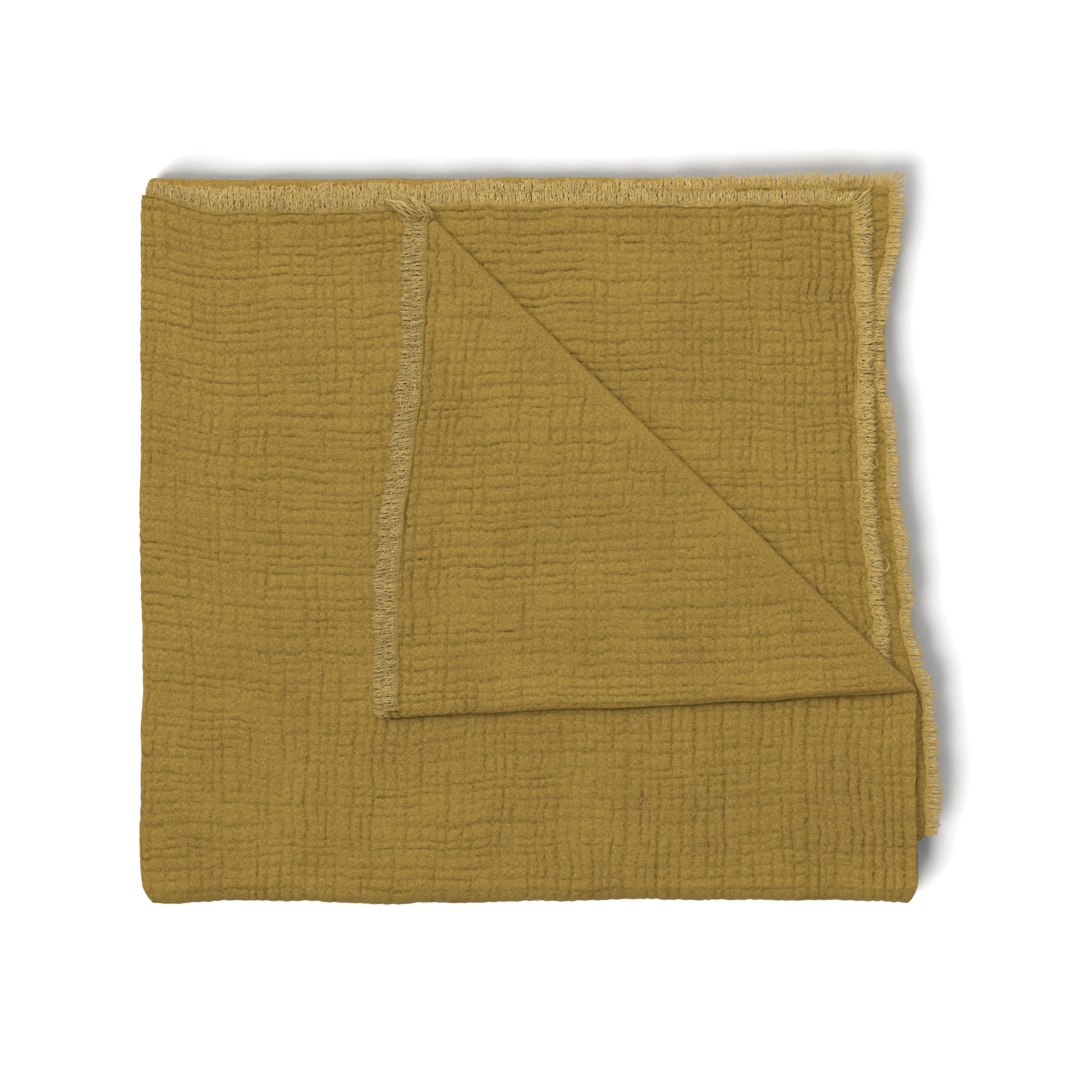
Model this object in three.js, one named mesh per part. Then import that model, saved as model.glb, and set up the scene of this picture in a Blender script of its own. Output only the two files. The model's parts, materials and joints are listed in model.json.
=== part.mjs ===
// A cotton double-gauze throw with frayed edges, folded to a flat stack of twelve layers.
//
// The throw's length is halved twice, which makes a strip of four sections: outer, second, third and inner.
// The strip is then folded in three thirds: back on the table, tucked in the middle and front on top.
// The front third's two uppermost layers have their top right corner turned back along a diagonal.
//
// Millimetres. +X is right, +Y is away from the bottom crease, +Z is up. The origin is at the bottom centre.
// Every panel is a stretch of the one cloth between two creases, and every crease is the cloth's bend there.

import * as THREE from 'three';

// The folded stack, crease to crease.
const FOLDED_WIDTH = 500;
const FOLDED_DEPTH = 467;

// The cloth: lofted gauze, the air between two layers, and the loose yarns past a raw edge.
const CLOTH_THICKNESS = 1.6;
const LAYER_GAP = 0.3;
const FRINGE_LENGTH = 11;
const FRINGE_THICKNESS = 1.0;

// How far each inner layer's bottom crease sits inside the one that wraps it.
const CREASE_STEP = 10.8;

// The front third's raw top edge: how far it lies below the top crease.
const FRONT_EDGE_DROP_LEFT = 12;
const FRONT_EDGE_DROP_AT_TURN = 24;
const SECOND_EDGE_STEP = 6;
const THIRD_EDGE_DROP = 18;
const INNER_EDGE_DROP_LEFT = 14;
const INNER_EDGE_DROP_RIGHT = 7;

// The turned corner: where its diagonal crease meets the top and right edges,
// and where the corner's point would lie if it were flat again, past the top and right creases.
const TURN_ALONG_TOP = 314.5;
const TURN_ALONG_SIDE = 329;
const CORNER_PAST_TOP = 4;
const CORNER_PAST_SIDE = 7;

// Right-hand raw edges of the front third, from the right crease line: positive stands out past it.
const THIRD_SIDE_AT_BOTTOM = -22;
const THIRD_SIDE_AT_TOP = -40;
const INNER_SIDE_AT_BOTTOM = 6;
const INNER_SIDE_AT_TOP = -26;

// The back and tucked thirds: how far they lie inside the front third's left and right edges.
const BACK_LEFT_INSET = 2;
const BACK_RIGHT_INSET_BOTTOM = 3;
const BACK_RIGHT_INSET_TOP = 24;
const BACK_THIRD_SIDE_INSET = 15;
const BACK_INNER_SIDE_INSET = 13;

// Clear space between the tucked third's frayed end and the crease that wraps it.
const TUCKED_END_CLEARANCE = 1;

// Facets in each half-round crease, and what is trimmed off each end so that a crease clears its neighbour.
const CREASE_FACETS = 8;
const END_TRIM = 0.8;

const LEFT = -FOLDED_WIDTH / 2;
const RIGHT = FOLDED_WIDTH / 2;
const BOTTOM = -FOLDED_DEPTH / 2;
const TOP = FOLDED_DEPTH / 2;
const LAYER_PITCH = CLOTH_THICKNESS + LAYER_GAP;

// Each third's layers, counted up from the table.
const BACK = { outer: 0, second: 1, third: 2, inner: 3 };
const TUCKED = { inner: 4, third: 5, second: 6, outer: 7 };
const FRONT = { inner: 8, third: 9, second: 10, outer: 11 };
const CORNER = { outer: 12, second: 13 };
const RANKS = ['outer', 'second', 'third', 'inner'];

const gauze = new THREE.MeshStandardMaterial({ color: 0x9c7e3e, roughness: 0.92, metalness: 0 });
const yarn = new THREE.MeshStandardMaterial({ color: 0xb59858, roughness: 0.95, metalness: 0 });

const throwBlanket = new THREE.Group();

// --- Plan geometry -------------------------------------------------------------------------------
// An edge runs anticlockwise round its panel, so the cloth is on its left.

function point(x, y) {
  return new THREE.Vector2(x, y);
}

function edge(from, to) {
  return { from, to };
}

function direction(line) {
  return line.to.clone().sub(line.from).normalize();
}

// The edge moved towards the cloth by a distance.
function inset(line, distance) {
  const along = direction(line);
  const shift = point(-along.y, along.x).multiplyScalar(distance);
  return edge(line.from.clone().add(shift), line.to.clone().add(shift));
}

// The point where two edges, made endless, cross.
function meet(one, other) {
  const a = one.to.clone().sub(one.from);
  const b = other.to.clone().sub(other.from);
  const between = other.from.clone().sub(one.from);
  const share = between.cross(b) / a.cross(b);
  return one.from.clone().add(a.multiplyScalar(share));
}

// The corners of the panel that these edges enclose, taken in order.
function corners(edges) {
  return edges.map((line, i) => meet(line, edges[(i + 1) % edges.length]));
}

// The stretch of an endless edge between two others.
function stretch(line, before, after) {
  return edge(meet(line, before), meet(line, after));
}

// A point's mirror image across an edge.
function mirrored(p, line) {
  const along = direction(line);
  const offset = p.clone().sub(line.from);
  const foot = along.multiplyScalar(offset.dot(along)).add(line.from);
  return foot.multiplyScalar(2).sub(p);
}

function levelEdge(y, fromX, toX) {
  return edge(point(fromX, y), point(toX, y));
}

// --- Solids --------------------------------------------------------------------------------------

function addMesh(name, geometry, material, parent = throwBlanket) {
  const mesh = new THREE.Mesh(geometry, material);
  mesh.name = name;
  parent.add(mesh);
  return mesh;
}

function layerHeight(layer) {
  return layer * LAYER_PITCH;
}

// A flat layer of cloth with this outline.
function addPanel(name, edges, layer) {
  const shape = new THREE.Shape(corners(edges));
  const geometry = new THREE.ExtrudeGeometry(shape, { depth: CLOTH_THICKNESS, bevelEnabled: false });
  addMesh(name, geometry, gauze).position.z = layerHeight(layer);
}

// The loose yarns along a raw edge: a thin slab that stands out from the cloth.
function addFringe(name, line, layer) {
  const trimmed = shortened(line, END_TRIM);
  const near = inset(trimmed, -LAYER_GAP);
  const far = inset(trimmed, -FRINGE_LENGTH);
  const shape = new THREE.Shape([near.from, far.from, far.to, near.to]);
  const geometry = new THREE.ExtrudeGeometry(shape, { depth: FRINGE_THICKNESS, bevelEnabled: false });
  const rise = (CLOTH_THICKNESS - FRINGE_THICKNESS) / 2;
  addMesh(name, geometry, yarn).position.z = layerHeight(layer) + rise;
}

function shortened(line, trim) {
  const step = direction(line).multiplyScalar(trim);
  return edge(line.from.clone().add(step), line.to.clone().sub(step));
}

// Outer radius of the bend that joins two layers.
function bendRadius(low, high) {
  return ((high - low) * LAYER_PITCH + CLOTH_THICKNESS) / 2;
}

// The cloth bent through half a turn from one layer to another. The line is the bend's centre in plan,
// running anticlockwise, so the bend bulges away from the cloth on its right.
function addCrease(name, line, low, high) {
  const trimmed = shortened(line, END_TRIM);
  const radius = bendRadius(low, high);
  const band = new THREE.Shape();
  band.absarc(0, 0, radius, Math.PI / 2, 1.5 * Math.PI, false);
  band.absarc(0, 0, radius - CLOTH_THICKNESS, 1.5 * Math.PI, Math.PI / 2, true);
  const depth = trimmed.to.distanceTo(trimmed.from);
  const settings = { depth, bevelEnabled: false, curveSegments: CREASE_FACETS };
  const crease = addMesh(name, new THREE.ExtrudeGeometry(band, settings), gauze);
  const along = direction(trimmed);
  const basis = new THREE.Matrix4().makeBasis(
    new THREE.Vector3(-along.y, along.x, 0),
    new THREE.Vector3(0, 0, 1),
    new THREE.Vector3(along.x, along.y, 0),
  );
  crease.quaternion.setFromRotationMatrix(basis);
  crease.position.set(trimmed.from.x, trimmed.from.y, layerHeight(low) + radius);
}

// --- The lines that the layers are folded to ------------------------------------------------------

const SIDE_BEND = bendRadius(FRONT.inner, FRONT.outer);
const JOINING_BEND = bendRadius(FRONT.second, FRONT.outer);
const TURN_BEND = bendRadius(FRONT.second, CORNER.second);
const TOP_BEND = bendRadius(BACK.outer, TUCKED.outer);
const BOTTOM_BEND = bendRadius(BACK.outer, FRONT.outer);

const bottomCentre = RANKS.map((rank, i) => BOTTOM + BOTTOM_BEND + i * CREASE_STEP);
const innermostBottom = bottomCentre[RANKS.length - 1];
const topCentre = levelEdge(TOP - TOP_BEND, RIGHT, LEFT);

const frontLeft = edge(point(LEFT, TOP), point(LEFT, BOTTOM));
const frontRight = edge(point(RIGHT, BOTTOM), point(RIGHT, TOP));
const backLeft = inset(frontLeft, BACK_LEFT_INSET);
const backRight = edge(
  point(RIGHT - BACK_RIGHT_INSET_BOTTOM, BOTTOM),
  point(RIGHT - BACK_RIGHT_INSET_TOP, TOP),
);

// The diagonal crease's outer edge, and the corner's point when it lies flat and when it is turned back.
const turnTop = point(RIGHT - TURN_ALONG_TOP, TOP - FRONT_EDGE_DROP_AT_TURN);
const turnSide = point(RIGHT, TOP - TURN_ALONG_SIDE);
const turnEdge = edge(turnSide, turnTop);
const flatCorner = point(RIGHT + CORNER_PAST_SIDE, TOP + CORNER_PAST_TOP);
const turnedCorner = mirrored(flatCorner, turnEdge);

// Raw top edges of the front third, and raw right-hand edges of all thirds.
const outerTopEdge = edge(turnTop, point(LEFT, TOP - FRONT_EDGE_DROP_LEFT));
const frontTopEdges = {
  outer: outerTopEdge,
  second: inset(outerTopEdge, SECOND_EDGE_STEP),
  third: levelEdge(TOP - THIRD_EDGE_DROP, RIGHT, LEFT),
  inner: edge(point(RIGHT, TOP - INNER_EDGE_DROP_RIGHT), point(LEFT, TOP - INNER_EDGE_DROP_LEFT)),
};
const frontSideEdges = {
  third: edge(point(RIGHT + THIRD_SIDE_AT_BOTTOM, BOTTOM), point(RIGHT + THIRD_SIDE_AT_TOP, TOP)),
  inner: edge(point(RIGHT + INNER_SIDE_AT_BOTTOM, BOTTOM), point(RIGHT + INNER_SIDE_AT_TOP, TOP)),
};
const backSideEdges = {
  third: inset(backRight, BACK_THIRD_SIDE_INSET),
  inner: inset(backRight, BACK_INNER_SIDE_INSET),
};
const tuckedEndEdge = levelEdge(innermostBottom + TUCKED_END_CLEARANCE + FRINGE_LENGTH, LEFT, RIGHT);

// Bends' centre lines, which the flat panels stop a gap short of.
const frontLeftBend = inset(frontLeft, SIDE_BEND);
const frontRightBend = inset(frontRight, JOINING_BEND);
const backLeftBend = inset(backLeft, SIDE_BEND);
const backRightBend = inset(backRight, JOINING_BEND);
const turnBend = inset(turnEdge, TURN_BEND);

function bottomBend(rank) {
  return levelEdge(bottomCentre[RANKS.indexOf(rank)], LEFT, RIGHT);
}

function clearOf(bend) {
  return inset(bend, LAYER_GAP);
}

// --- The back, tucked and front thirds -------------------------------------------------------------

function addFrontThird() {
  for (const rank of ['outer', 'second']) {
    addPanel(`front_panel_${rank}`, [
      clearOf(frontLeftBend),
      clearOf(bottomBend(rank)),
      clearOf(frontRightBend),
      clearOf(turnBend),
      frontTopEdges[rank],
    ], FRONT[rank]);
    const topEdge = stretch(frontTopEdges[rank], clearOf(turnBend), clearOf(frontLeftBend));
    addFringe(`front_top_fringe_${rank}`, topEdge, FRONT[rank]);
  }
  for (const rank of ['third', 'inner']) {
    addPanel(`front_panel_${rank}`, [
      clearOf(frontLeftBend),
      clearOf(bottomBend(rank)),
      frontSideEdges[rank],
      frontTopEdges[rank],
    ], FRONT[rank]);
    const topEdge = stretch(frontTopEdges[rank], frontSideEdges[rank], clearOf(frontLeftBend));
    addFringe(`front_top_fringe_${rank}`, topEdge, FRONT[rank]);
    const sideEdge = stretch(frontSideEdges[rank], clearOf(bottomBend(rank)), frontTopEdges[rank]);
    addFringe(`front_side_fringe_${rank}`, sideEdge, FRONT[rank]);
  }
  const lowest = clearOf(bottomBend('outer'));
  const leftLine = stretch(frontLeftBend, frontTopEdges.third, lowest);
  const rightLine = stretch(frontRightBend, lowest, clearOf(turnBend));
  addCrease('front_left_crease_outer', leftLine, FRONT.inner, FRONT.outer);
  addCrease('front_left_crease_inner', leftLine, FRONT.third, FRONT.second);
  addCrease('front_right_crease', rightLine, FRONT.second, FRONT.outer);
}

// The back and tucked thirds share their left and right edges. They differ in which end is raw.
function addLowerThird(name, layers, lowEdgeOf) {
  const highEdge = clearOf(topCentre);
  const rightEdges = {
    outer: clearOf(backRightBend),
    second: clearOf(backRightBend),
    ...backSideEdges,
  };
  for (const rank of RANKS) {
    const outline = [clearOf(backLeftBend), lowEdgeOf(rank), rightEdges[rank], highEdge];
    addPanel(`${name}_panel_${rank}`, outline, layers[rank]);
  }
  for (const rank of ['third', 'inner']) {
    const sideEdge = stretch(rightEdges[rank], lowEdgeOf(rank), highEdge);
    addFringe(`${name}_side_fringe_${rank}`, sideEdge, layers[rank]);
  }
  const leftLine = stretch(backLeftBend, highEdge, lowEdgeOf('outer'));
  const rightLine = stretch(backRightBend, lowEdgeOf('outer'), highEdge);
  const [low, high] = [layers.inner, layers.outer].sort((a, b) => a - b);
  const [innerLow, innerHigh] = [layers.third, layers.second].sort((a, b) => a - b);
  const [joinLow, joinHigh] = [layers.second, layers.outer].sort((a, b) => a - b);
  addCrease(`${name}_left_crease_outer`, leftLine, low, high);
  addCrease(`${name}_left_crease_inner`, leftLine, innerLow, innerHigh);
  addCrease(`${name}_right_crease`, rightLine, joinLow, joinHigh);
}

function addTuckedEndFringes() {
  for (const rank of RANKS) {
    const right = rank in backSideEdges ? backSideEdges[rank] : clearOf(backRightBend);
    const line = stretch(tuckedEndEdge, clearOf(backLeftBend), right);
    addFringe(`tucked_end_fringe_${rank}`, line, TUCKED[rank]);
  }
}

// --- Creases that join the thirds ------------------------------------------------------------------

function addTopCreases() {
  for (const rank of RANKS) {
    const right = backSideEdges[rank] ?? backRight;
    const line = stretch(topCentre, right, backLeft);
    addCrease(`top_crease_${rank}`, line, BACK[rank], TUCKED[rank]);
  }
}

// The outermost bottom crease spans the whole width. The others run between the side creases.
function addBottomCreases() {
  const rightEnds = {
    outer: backRight,
    second: inset(backRight, 2 * JOINING_BEND),
    ...frontSideEdges,
  };
  for (const rank of RANKS) {
    const left = rank === 'outer' ? frontLeft : clearOf(backLeftBend);
    const line = stretch(bottomBend(rank), left, rightEnds[rank]);
    addCrease(`bottom_crease_${rank}`, line, BACK[rank], FRONT[rank]);
  }
}

// --- The turned-back corner ------------------------------------------------------------------------

// Turned over, the second layer is on top. Its raw edge is at the left and its joining crease below.
function addTurnedCorner() {
  const rawEdges = { second: edge(turnTop, turnedCorner) };
  rawEdges.outer = inset(rawEdges.second, -SECOND_EDGE_STEP);
  const joiningEdge = edge(turnedCorner, turnSide);
  const joiningBend = inset(joiningEdge, JOINING_BEND);
  const diagonal = clearOf(turnBend);
  for (const rank of ['outer', 'second']) {
    addPanel(`corner_panel_${rank}`, [rawEdges[rank], clearOf(joiningBend), diagonal], CORNER[rank]);
    const rawEdge = stretch(rawEdges[rank], diagonal, clearOf(joiningBend));
    addFringe(`corner_fringe_${rank}`, rawEdge, CORNER[rank]);
    const diagonalLine = stretch(turnBend, clearOf(frontRightBend), frontTopEdges.second);
    addCrease(`diagonal_crease_${rank}`, diagonalLine, FRONT[rank], CORNER[rank]);
  }
  const joiningLine = stretch(joiningBend, rawEdges.second, diagonal);
  addCrease('corner_side_crease', joiningLine, CORNER.outer, CORNER.second);
}

addLowerThird('back', BACK, (rank) => clearOf(bottomBend(rank)));
addLowerThird('tucked', TUCKED, () => tuckedEndEdge);
addTuckedEndFringes();
addTopCreases();
addBottomCreases();
addFrontThird();
addTurnedCorner();

// The whole stack moved so that its box's bottom centre is the origin.
throwBlanket.updateMatrixWorld(true);
const box = new THREE.Box3().setFromObject(throwBlanket, true);
const centre = box.getCenter(new THREE.Vector3());
throwBlanket.position.set(-centre.x, -centre.y, -box.min.z);

export default throwBlanket;
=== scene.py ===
"""A folded throw of crinkled cotton double gauze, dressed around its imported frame.

The throw is one rectangle of cloth. Its length is halved twice into a strip of four sections, and the strip
is folded in thirds. A point of the cloth is placed by one map, StackFold, so that neighbouring pieces meet
at their creases: first round the strip's side creases, then along the strip's path, then over the turned
corner's diagonal.
"""

import json
import logging
import math
from dataclasses import dataclass, field
from enum import Enum

import bmesh
import bpy
import numpy as np
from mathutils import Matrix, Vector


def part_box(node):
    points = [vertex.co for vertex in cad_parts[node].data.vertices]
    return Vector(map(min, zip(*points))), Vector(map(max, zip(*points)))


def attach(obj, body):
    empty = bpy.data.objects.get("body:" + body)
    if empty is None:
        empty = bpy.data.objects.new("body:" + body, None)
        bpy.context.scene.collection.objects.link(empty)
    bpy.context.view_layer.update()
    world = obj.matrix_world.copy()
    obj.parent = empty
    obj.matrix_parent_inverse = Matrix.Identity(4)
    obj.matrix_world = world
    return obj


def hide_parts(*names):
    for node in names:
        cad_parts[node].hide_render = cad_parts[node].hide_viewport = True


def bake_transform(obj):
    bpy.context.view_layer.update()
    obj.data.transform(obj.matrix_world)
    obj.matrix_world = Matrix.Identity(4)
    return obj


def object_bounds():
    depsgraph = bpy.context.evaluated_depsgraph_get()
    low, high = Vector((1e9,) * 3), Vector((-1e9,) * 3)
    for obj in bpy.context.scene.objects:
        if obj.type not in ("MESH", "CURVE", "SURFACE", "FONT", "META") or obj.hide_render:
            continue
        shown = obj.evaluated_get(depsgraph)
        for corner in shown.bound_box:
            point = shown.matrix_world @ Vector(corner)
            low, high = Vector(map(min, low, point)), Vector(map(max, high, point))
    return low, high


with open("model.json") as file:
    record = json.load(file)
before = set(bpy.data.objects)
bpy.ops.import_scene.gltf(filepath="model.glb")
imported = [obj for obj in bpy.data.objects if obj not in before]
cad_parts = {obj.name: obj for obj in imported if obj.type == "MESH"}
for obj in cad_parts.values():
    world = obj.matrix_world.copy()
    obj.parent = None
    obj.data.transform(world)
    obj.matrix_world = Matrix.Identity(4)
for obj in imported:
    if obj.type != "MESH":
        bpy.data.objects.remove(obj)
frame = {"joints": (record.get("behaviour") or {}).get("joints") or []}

LOG = logging.getLogger("throw")
MM = 0.001
CAD_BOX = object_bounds()

Array = np.ndarray


class Rank(Enum):
    """The strip's four sections, from the outside of the fold to the inside."""

    OUTER = 0
    SECOND = 1
    THIRD = 2
    INNER = 3

    @property
    def word(self) -> str:
        """The rank as the frame's node names spell it."""
        return self.name.lower()

    @property
    def joined_right(self) -> bool:
        """Whether the section's right edge is a crease and not a raw edge."""
        return self in (Rank.OUTER, Rank.SECOND)


class Side(Enum):
    """The two gauze layers of the cloth: towards the outside of the strip, or towards its inside."""

    OUTWARD = 1
    INWARD = -1


class Run(Enum):
    """Stretches of the strip's path, as (first, last) path coordinate. Each unit is one panel or one bend."""

    LOWER = (0.0, 3.0)
    BOTTOM_CREASE = (3.0, 4.0)
    FRONT = (4.0, 5.0)


# --- Small numeric helpers ---------------------------------------------------------------------------


def smooth(t: Array) -> Array:
    """Smoothstep of t, clipped to 0..1."""
    t = np.clip(t, 0.0, 1.0)
    return t * t * (3.0 - 2.0 * t)


def lattice(ix: Array, iy: Array, seed: int) -> Array:
    """Repeatable random numbers from -1 to 1 at whole lattice points.

    Args:
        ix: Whole-number columns.
        iy: Whole-number rows.
        seed: Picks the field.

    Returns:
        One number for each lattice point.
    """
    n = (ix * 374761393 + iy * 668265263 + seed * 974634777) & 0xFFFFFFFF
    n = ((n ^ (n >> 13)) * 1274126177) & 0xFFFFFFFF
    n = n ^ (n >> 16)
    return (n & 0xFFFF) / 32767.5 - 1.0


def ripple(x: Array, y: Array, seed: int) -> Array:
    """Smooth random field from about -1 to 1 that changes over one unit of x and y.

    Args:
        x: Coordinates in units of the wavelength.
        y: Coordinates in units of the wavelength.
        seed: Picks the field.

    Returns:
        The field's value at each point.
    """
    ix = np.floor(x).astype(np.int64)
    iy = np.floor(y).astype(np.int64)
    fx = x - ix
    fy = y - iy
    fx = fx * fx * fx * (fx * (fx * 6.0 - 15.0) + 10.0)
    fy = fy * fy * fy * (fy * (fy * 6.0 - 15.0) + 10.0)
    low = lattice(ix, iy, seed) * (1 - fx) + lattice(ix + 1, iy, seed) * fx
    high = lattice(ix, iy + 1, seed) * (1 - fx) + lattice(ix + 1, iy + 1, seed) * fx
    return low * (1 - fy) + high * fy


def graded(start: float, stop: float, fine: float, coarse: float, zones: tuple = ()) -> Array:
    """Steps from start to stop: fine inside the zones, coarse elsewhere.

    Args:
        start: First value.
        stop: Last value.
        fine: Step inside a zone.
        coarse: Step outside the zones.
        zones: (low, high) stretches that need detail.

    Returns:
        The values, ends included.
    """
    values = [start]
    while values[-1] < stop:
        at = values[-1]
        inside = any(low - coarse <= at <= high for low, high in zones)
        values.append(at + (fine if inside else coarse))
    values = np.array(values)
    return start + (values - start) * (stop - start) / (values[-1] - start)


@dataclass(frozen=True)
class EdgeCurve:
    """A wavy edge: offsets in metres at stations along it, with smooth stretches between."""

    stations: tuple
    offsets: tuple

    def at(self, place: Array) -> Array:
        """The edge's offset at each place.

        Args:
            place: Places along the edge.

        Returns:
            The offsets.
        """
        place = np.asarray(place, float)
        value = np.full(place.shape, float(self.offsets[0]))
        for i in range(len(self.stations) - 1):
            low, high = self.stations[i], self.stations[i + 1]
            share = smooth((place - low) / (high - low))
            value += share * (self.offsets[i + 1] - self.offsets[i])
        return value


# --- How the throw is folded --------------------------------------------------------------------------


@dataclass(frozen=True)
class StackPlan:
    """The folded stack's sizes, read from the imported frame, in metres."""

    left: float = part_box("front_left_crease_outer")[0].x
    right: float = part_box("front_right_crease")[1].x
    bottom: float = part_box("bottom_crease_outer")[0].y
    top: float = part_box("top_crease_outer")[1].y
    pitch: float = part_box("back_panel_second")[0].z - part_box("back_panel_outer")[0].z
    loft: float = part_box("back_panel_outer")[1].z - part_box("back_panel_outer")[0].z
    top_centre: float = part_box("top_crease_outer")[0].y
    bottom_outer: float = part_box("bottom_crease_outer")[1].y
    bottom_inner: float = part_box("bottom_crease_inner")[1].y
    tucked_end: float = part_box("tucked_end_fringe_outer")[1].y
    back_left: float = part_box("back_left_crease_outer")[0].x
    back_right_low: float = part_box("back_right_crease")[1].x
    back_right_high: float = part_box("back_right_crease")[0].x

    def offset(self, rank: Rank) -> float:
        """How far a section lies outside the strip's middle."""
        return (1.5 - rank.value) * self.pitch

    def height(self, third: str) -> float:
        """The height of the middle of a third's four layers.

        Args:
            third: The third: back, tucked or front.

        Returns:
            The height in metres.
        """
        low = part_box(f"{third}_panel_outer")[0].z
        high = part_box(f"{third}_panel_inner")[0].z
        return (low + high + self.loft) / 2


@dataclass(frozen=True)
class Diagonal:
    """The turned corner's crease: a point on its outer edge, its direction, and the height it folds about."""

    point: tuple
    along: tuple
    height: float
    reach: float

    def past(self, x: Array, y: Array) -> Array:
        """How far a flat point lies past the bend's centre line, towards the corner that is turned."""
        across = (self.along[1], -self.along[0])
        return (x - self.point[0]) * across[0] + (y - self.point[1]) * across[1] + self.reach


def read_diagonal(plan: StackPlan) -> Diagonal:
    """The diagonal crease, from the frame's own joint.

    Args:
        plan: The folded stack's sizes.

    Returns:
        The crease.
    """
    joint = next(j for j in frame["joints"] if j["name"] == "corner_turning")
    reach = (3 * plan.pitch + plan.loft) / 2
    return Diagonal(tuple(joint["pos_m"][:2]), tuple(joint["axis"][:2]), joint["pos_m"][2], reach)


@dataclass(frozen=True)
class StackFold:
    """Places the flat cloth in the folded stack.

    A point has an across coordinate f, a path coordinate g and a rise. f is 0 at the left crease's centre
    and 1 at the right one's, -1 and 2 at their crests. g counts the strip's stretches: 0 to 1 up the tucked
    third, 1 to 2 round the top crease, 2 to 3 down the back third, 3 to 4 round the bottom crease, 4 to 5
    up the front third.
    """

    plan: StackPlan
    diagonal: Diagonal
    inner_crease_inset: float = 2.0 * MM
    top_crease_step: float = 4.0 * MM
    corner_overhang: float = 7.0 * MM
    drift: float = 1.5 * MM
    drift_length: float = 85.0 * MM
    nudge: float = 0.6 * MM
    nudge_length: float = 24.0 * MM
    swell: float = 0.05
    still_width: float = 35.0 * MM
    still_drift: float = 0.4
    raw_wave: float = 0.8 * MM
    raw_wave_length: float = 17.0 * MM
    scallop: float = 0.55 * MM
    scallop_length: float = 4.2 * MM
    outer_top: EdgeCurve = field(default_factory=lambda: EdgeCurve(
        (-0.257, -0.205, -0.110, -0.070, 0.250), (-12 * MM, -24 * MM, -24 * MM, -18.5 * MM, 10 * MM)))
    third_top: EdgeCurve = field(default_factory=lambda: EdgeCurve(
        (-0.257, 0.0, 0.200), (-17 * MM, -19 * MM, -18 * MM)))
    inner_top: EdgeCurve = field(default_factory=lambda: EdgeCurve(
        (-0.257, 0.050, 0.150), (-15 * MM, -12 * MM, -7 * MM)))
    second_step: float = 2.5 * MM
    third_side: EdgeCurve = field(default_factory=lambda: EdgeCurve(
        (-0.23, -0.10, 0.05, 0.22), (-22 * MM, -28 * MM, -38 * MM, -41 * MM)))
    inner_side: EdgeCurve = field(default_factory=lambda: EdgeCurve(
        (-0.200, -0.150, -0.075, 0.035, 0.120, 0.222),
        (6 * MM, 4 * MM, -10 * MM, -19 * MM, -30 * MM, -18 * MM)))
    back_third_inset: float = 15.0 * MM
    back_inner_inset: float = 13.0 * MM
    corner_lift: float = 2.6 * MM
    corner_lift_width: float = 17.0 * MM
    corner_pull: float = 3.2 * MM
    corner_round: float = 13.0 * MM
    corner_width: float = 30.0 * MM

    def share(self, g: Array) -> Array:
        """How far round the bottom crease a point is: 0 on the back third, 1 on the front."""
        return smooth(g - Run.BOTTOM_CREASE.value[0])

    def near_y(self, g: Array) -> Array:
        """Roughly how far up the stack a path coordinate lies, for edges that slant."""
        p = self.plan
        return np.interp(g, (0, 1, 2, 3, 4, 5), (p.tucked_end, p.top, p.top, p.bottom, p.bottom, p.top))

    def left_centre(self, rank: Rank, g: Array) -> Array:
        """Centre line of the left crease that this section runs into.

        Args:
            rank: The section.
            g: Path coordinate.

        Returns:
            x at each place.
        """
        p = self.plan
        outer_edge = p.back_left + (p.left - p.back_left) * self.share(g)
        nested = 0.0 if rank in (Rank.OUTER, Rank.INNER) else self.inner_crease_inset
        return outer_edge + (3 * p.pitch + p.loft) / 2 + nested

    def right_centre(self, rank: Rank, g: Array) -> Array:
        """Centre line of the right crease, or the raw edge, of this section.

        Args:
            rank: The section.
            g: Path coordinate.

        Returns:
            x at each place.
        """
        p = self.plan
        y = self.near_y(g)
        up = (y - p.bottom) / (p.top - p.bottom)
        back = p.back_right_low + (p.back_right_high - p.back_right_low) * up
        bend = (p.pitch + p.loft) / 2
        lean = self.corner_overhang * smooth((up - 0.3) / 0.7)
        lower, front = {
            Rank.OUTER: (back - bend, p.right + lean - bend),
            Rank.SECOND: (back - bend, p.right + lean - bend),
            Rank.THIRD: (back - self.back_third_inset, p.right + self.third_side.at(y)),
            Rank.INNER: (back - self.back_inner_inset, p.right + self.inner_side.at(y)),
        }[rank]
        share = self.share(g)
        line = lower * (1 - share) + front * share
        if rank.joined_right:
            return line
        return line + self.frayed_wave(y, rank.value + 0.5)

    def raw_top(self, rank: Rank, x: Array) -> Array:
        """Height on the plan of the front third's raw top edge.

        Args:
            rank: The section.
            x: Sideways place.

        Returns:
            y at each place.
        """
        curve = {
            Rank.OUTER: self.outer_top, Rank.SECOND: self.outer_top,
            Rank.THIRD: self.third_top, Rank.INNER: self.inner_top,
        }[rank]
        drop = self.second_step if rank is Rank.SECOND else 0.0
        return self.plan.top + curve.at(x) - drop + self.frayed_wave(x, rank.value + 7.5)

    def frayed_wave(self, place: Array, row: float) -> Array:
        """How a raw edge waves in and out along its length.

        Args:
            place: Place along the edge, in metres.
            row: Picks the edge's own wave.

        Returns:
            Offsets in metres.
        """
        row = row + 0 * place
        wave = self.raw_wave * ripple(place / self.raw_wave_length, row, 41)
        return wave + self.scallop * ripple(place / self.scallop_length, row, 42)

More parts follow.
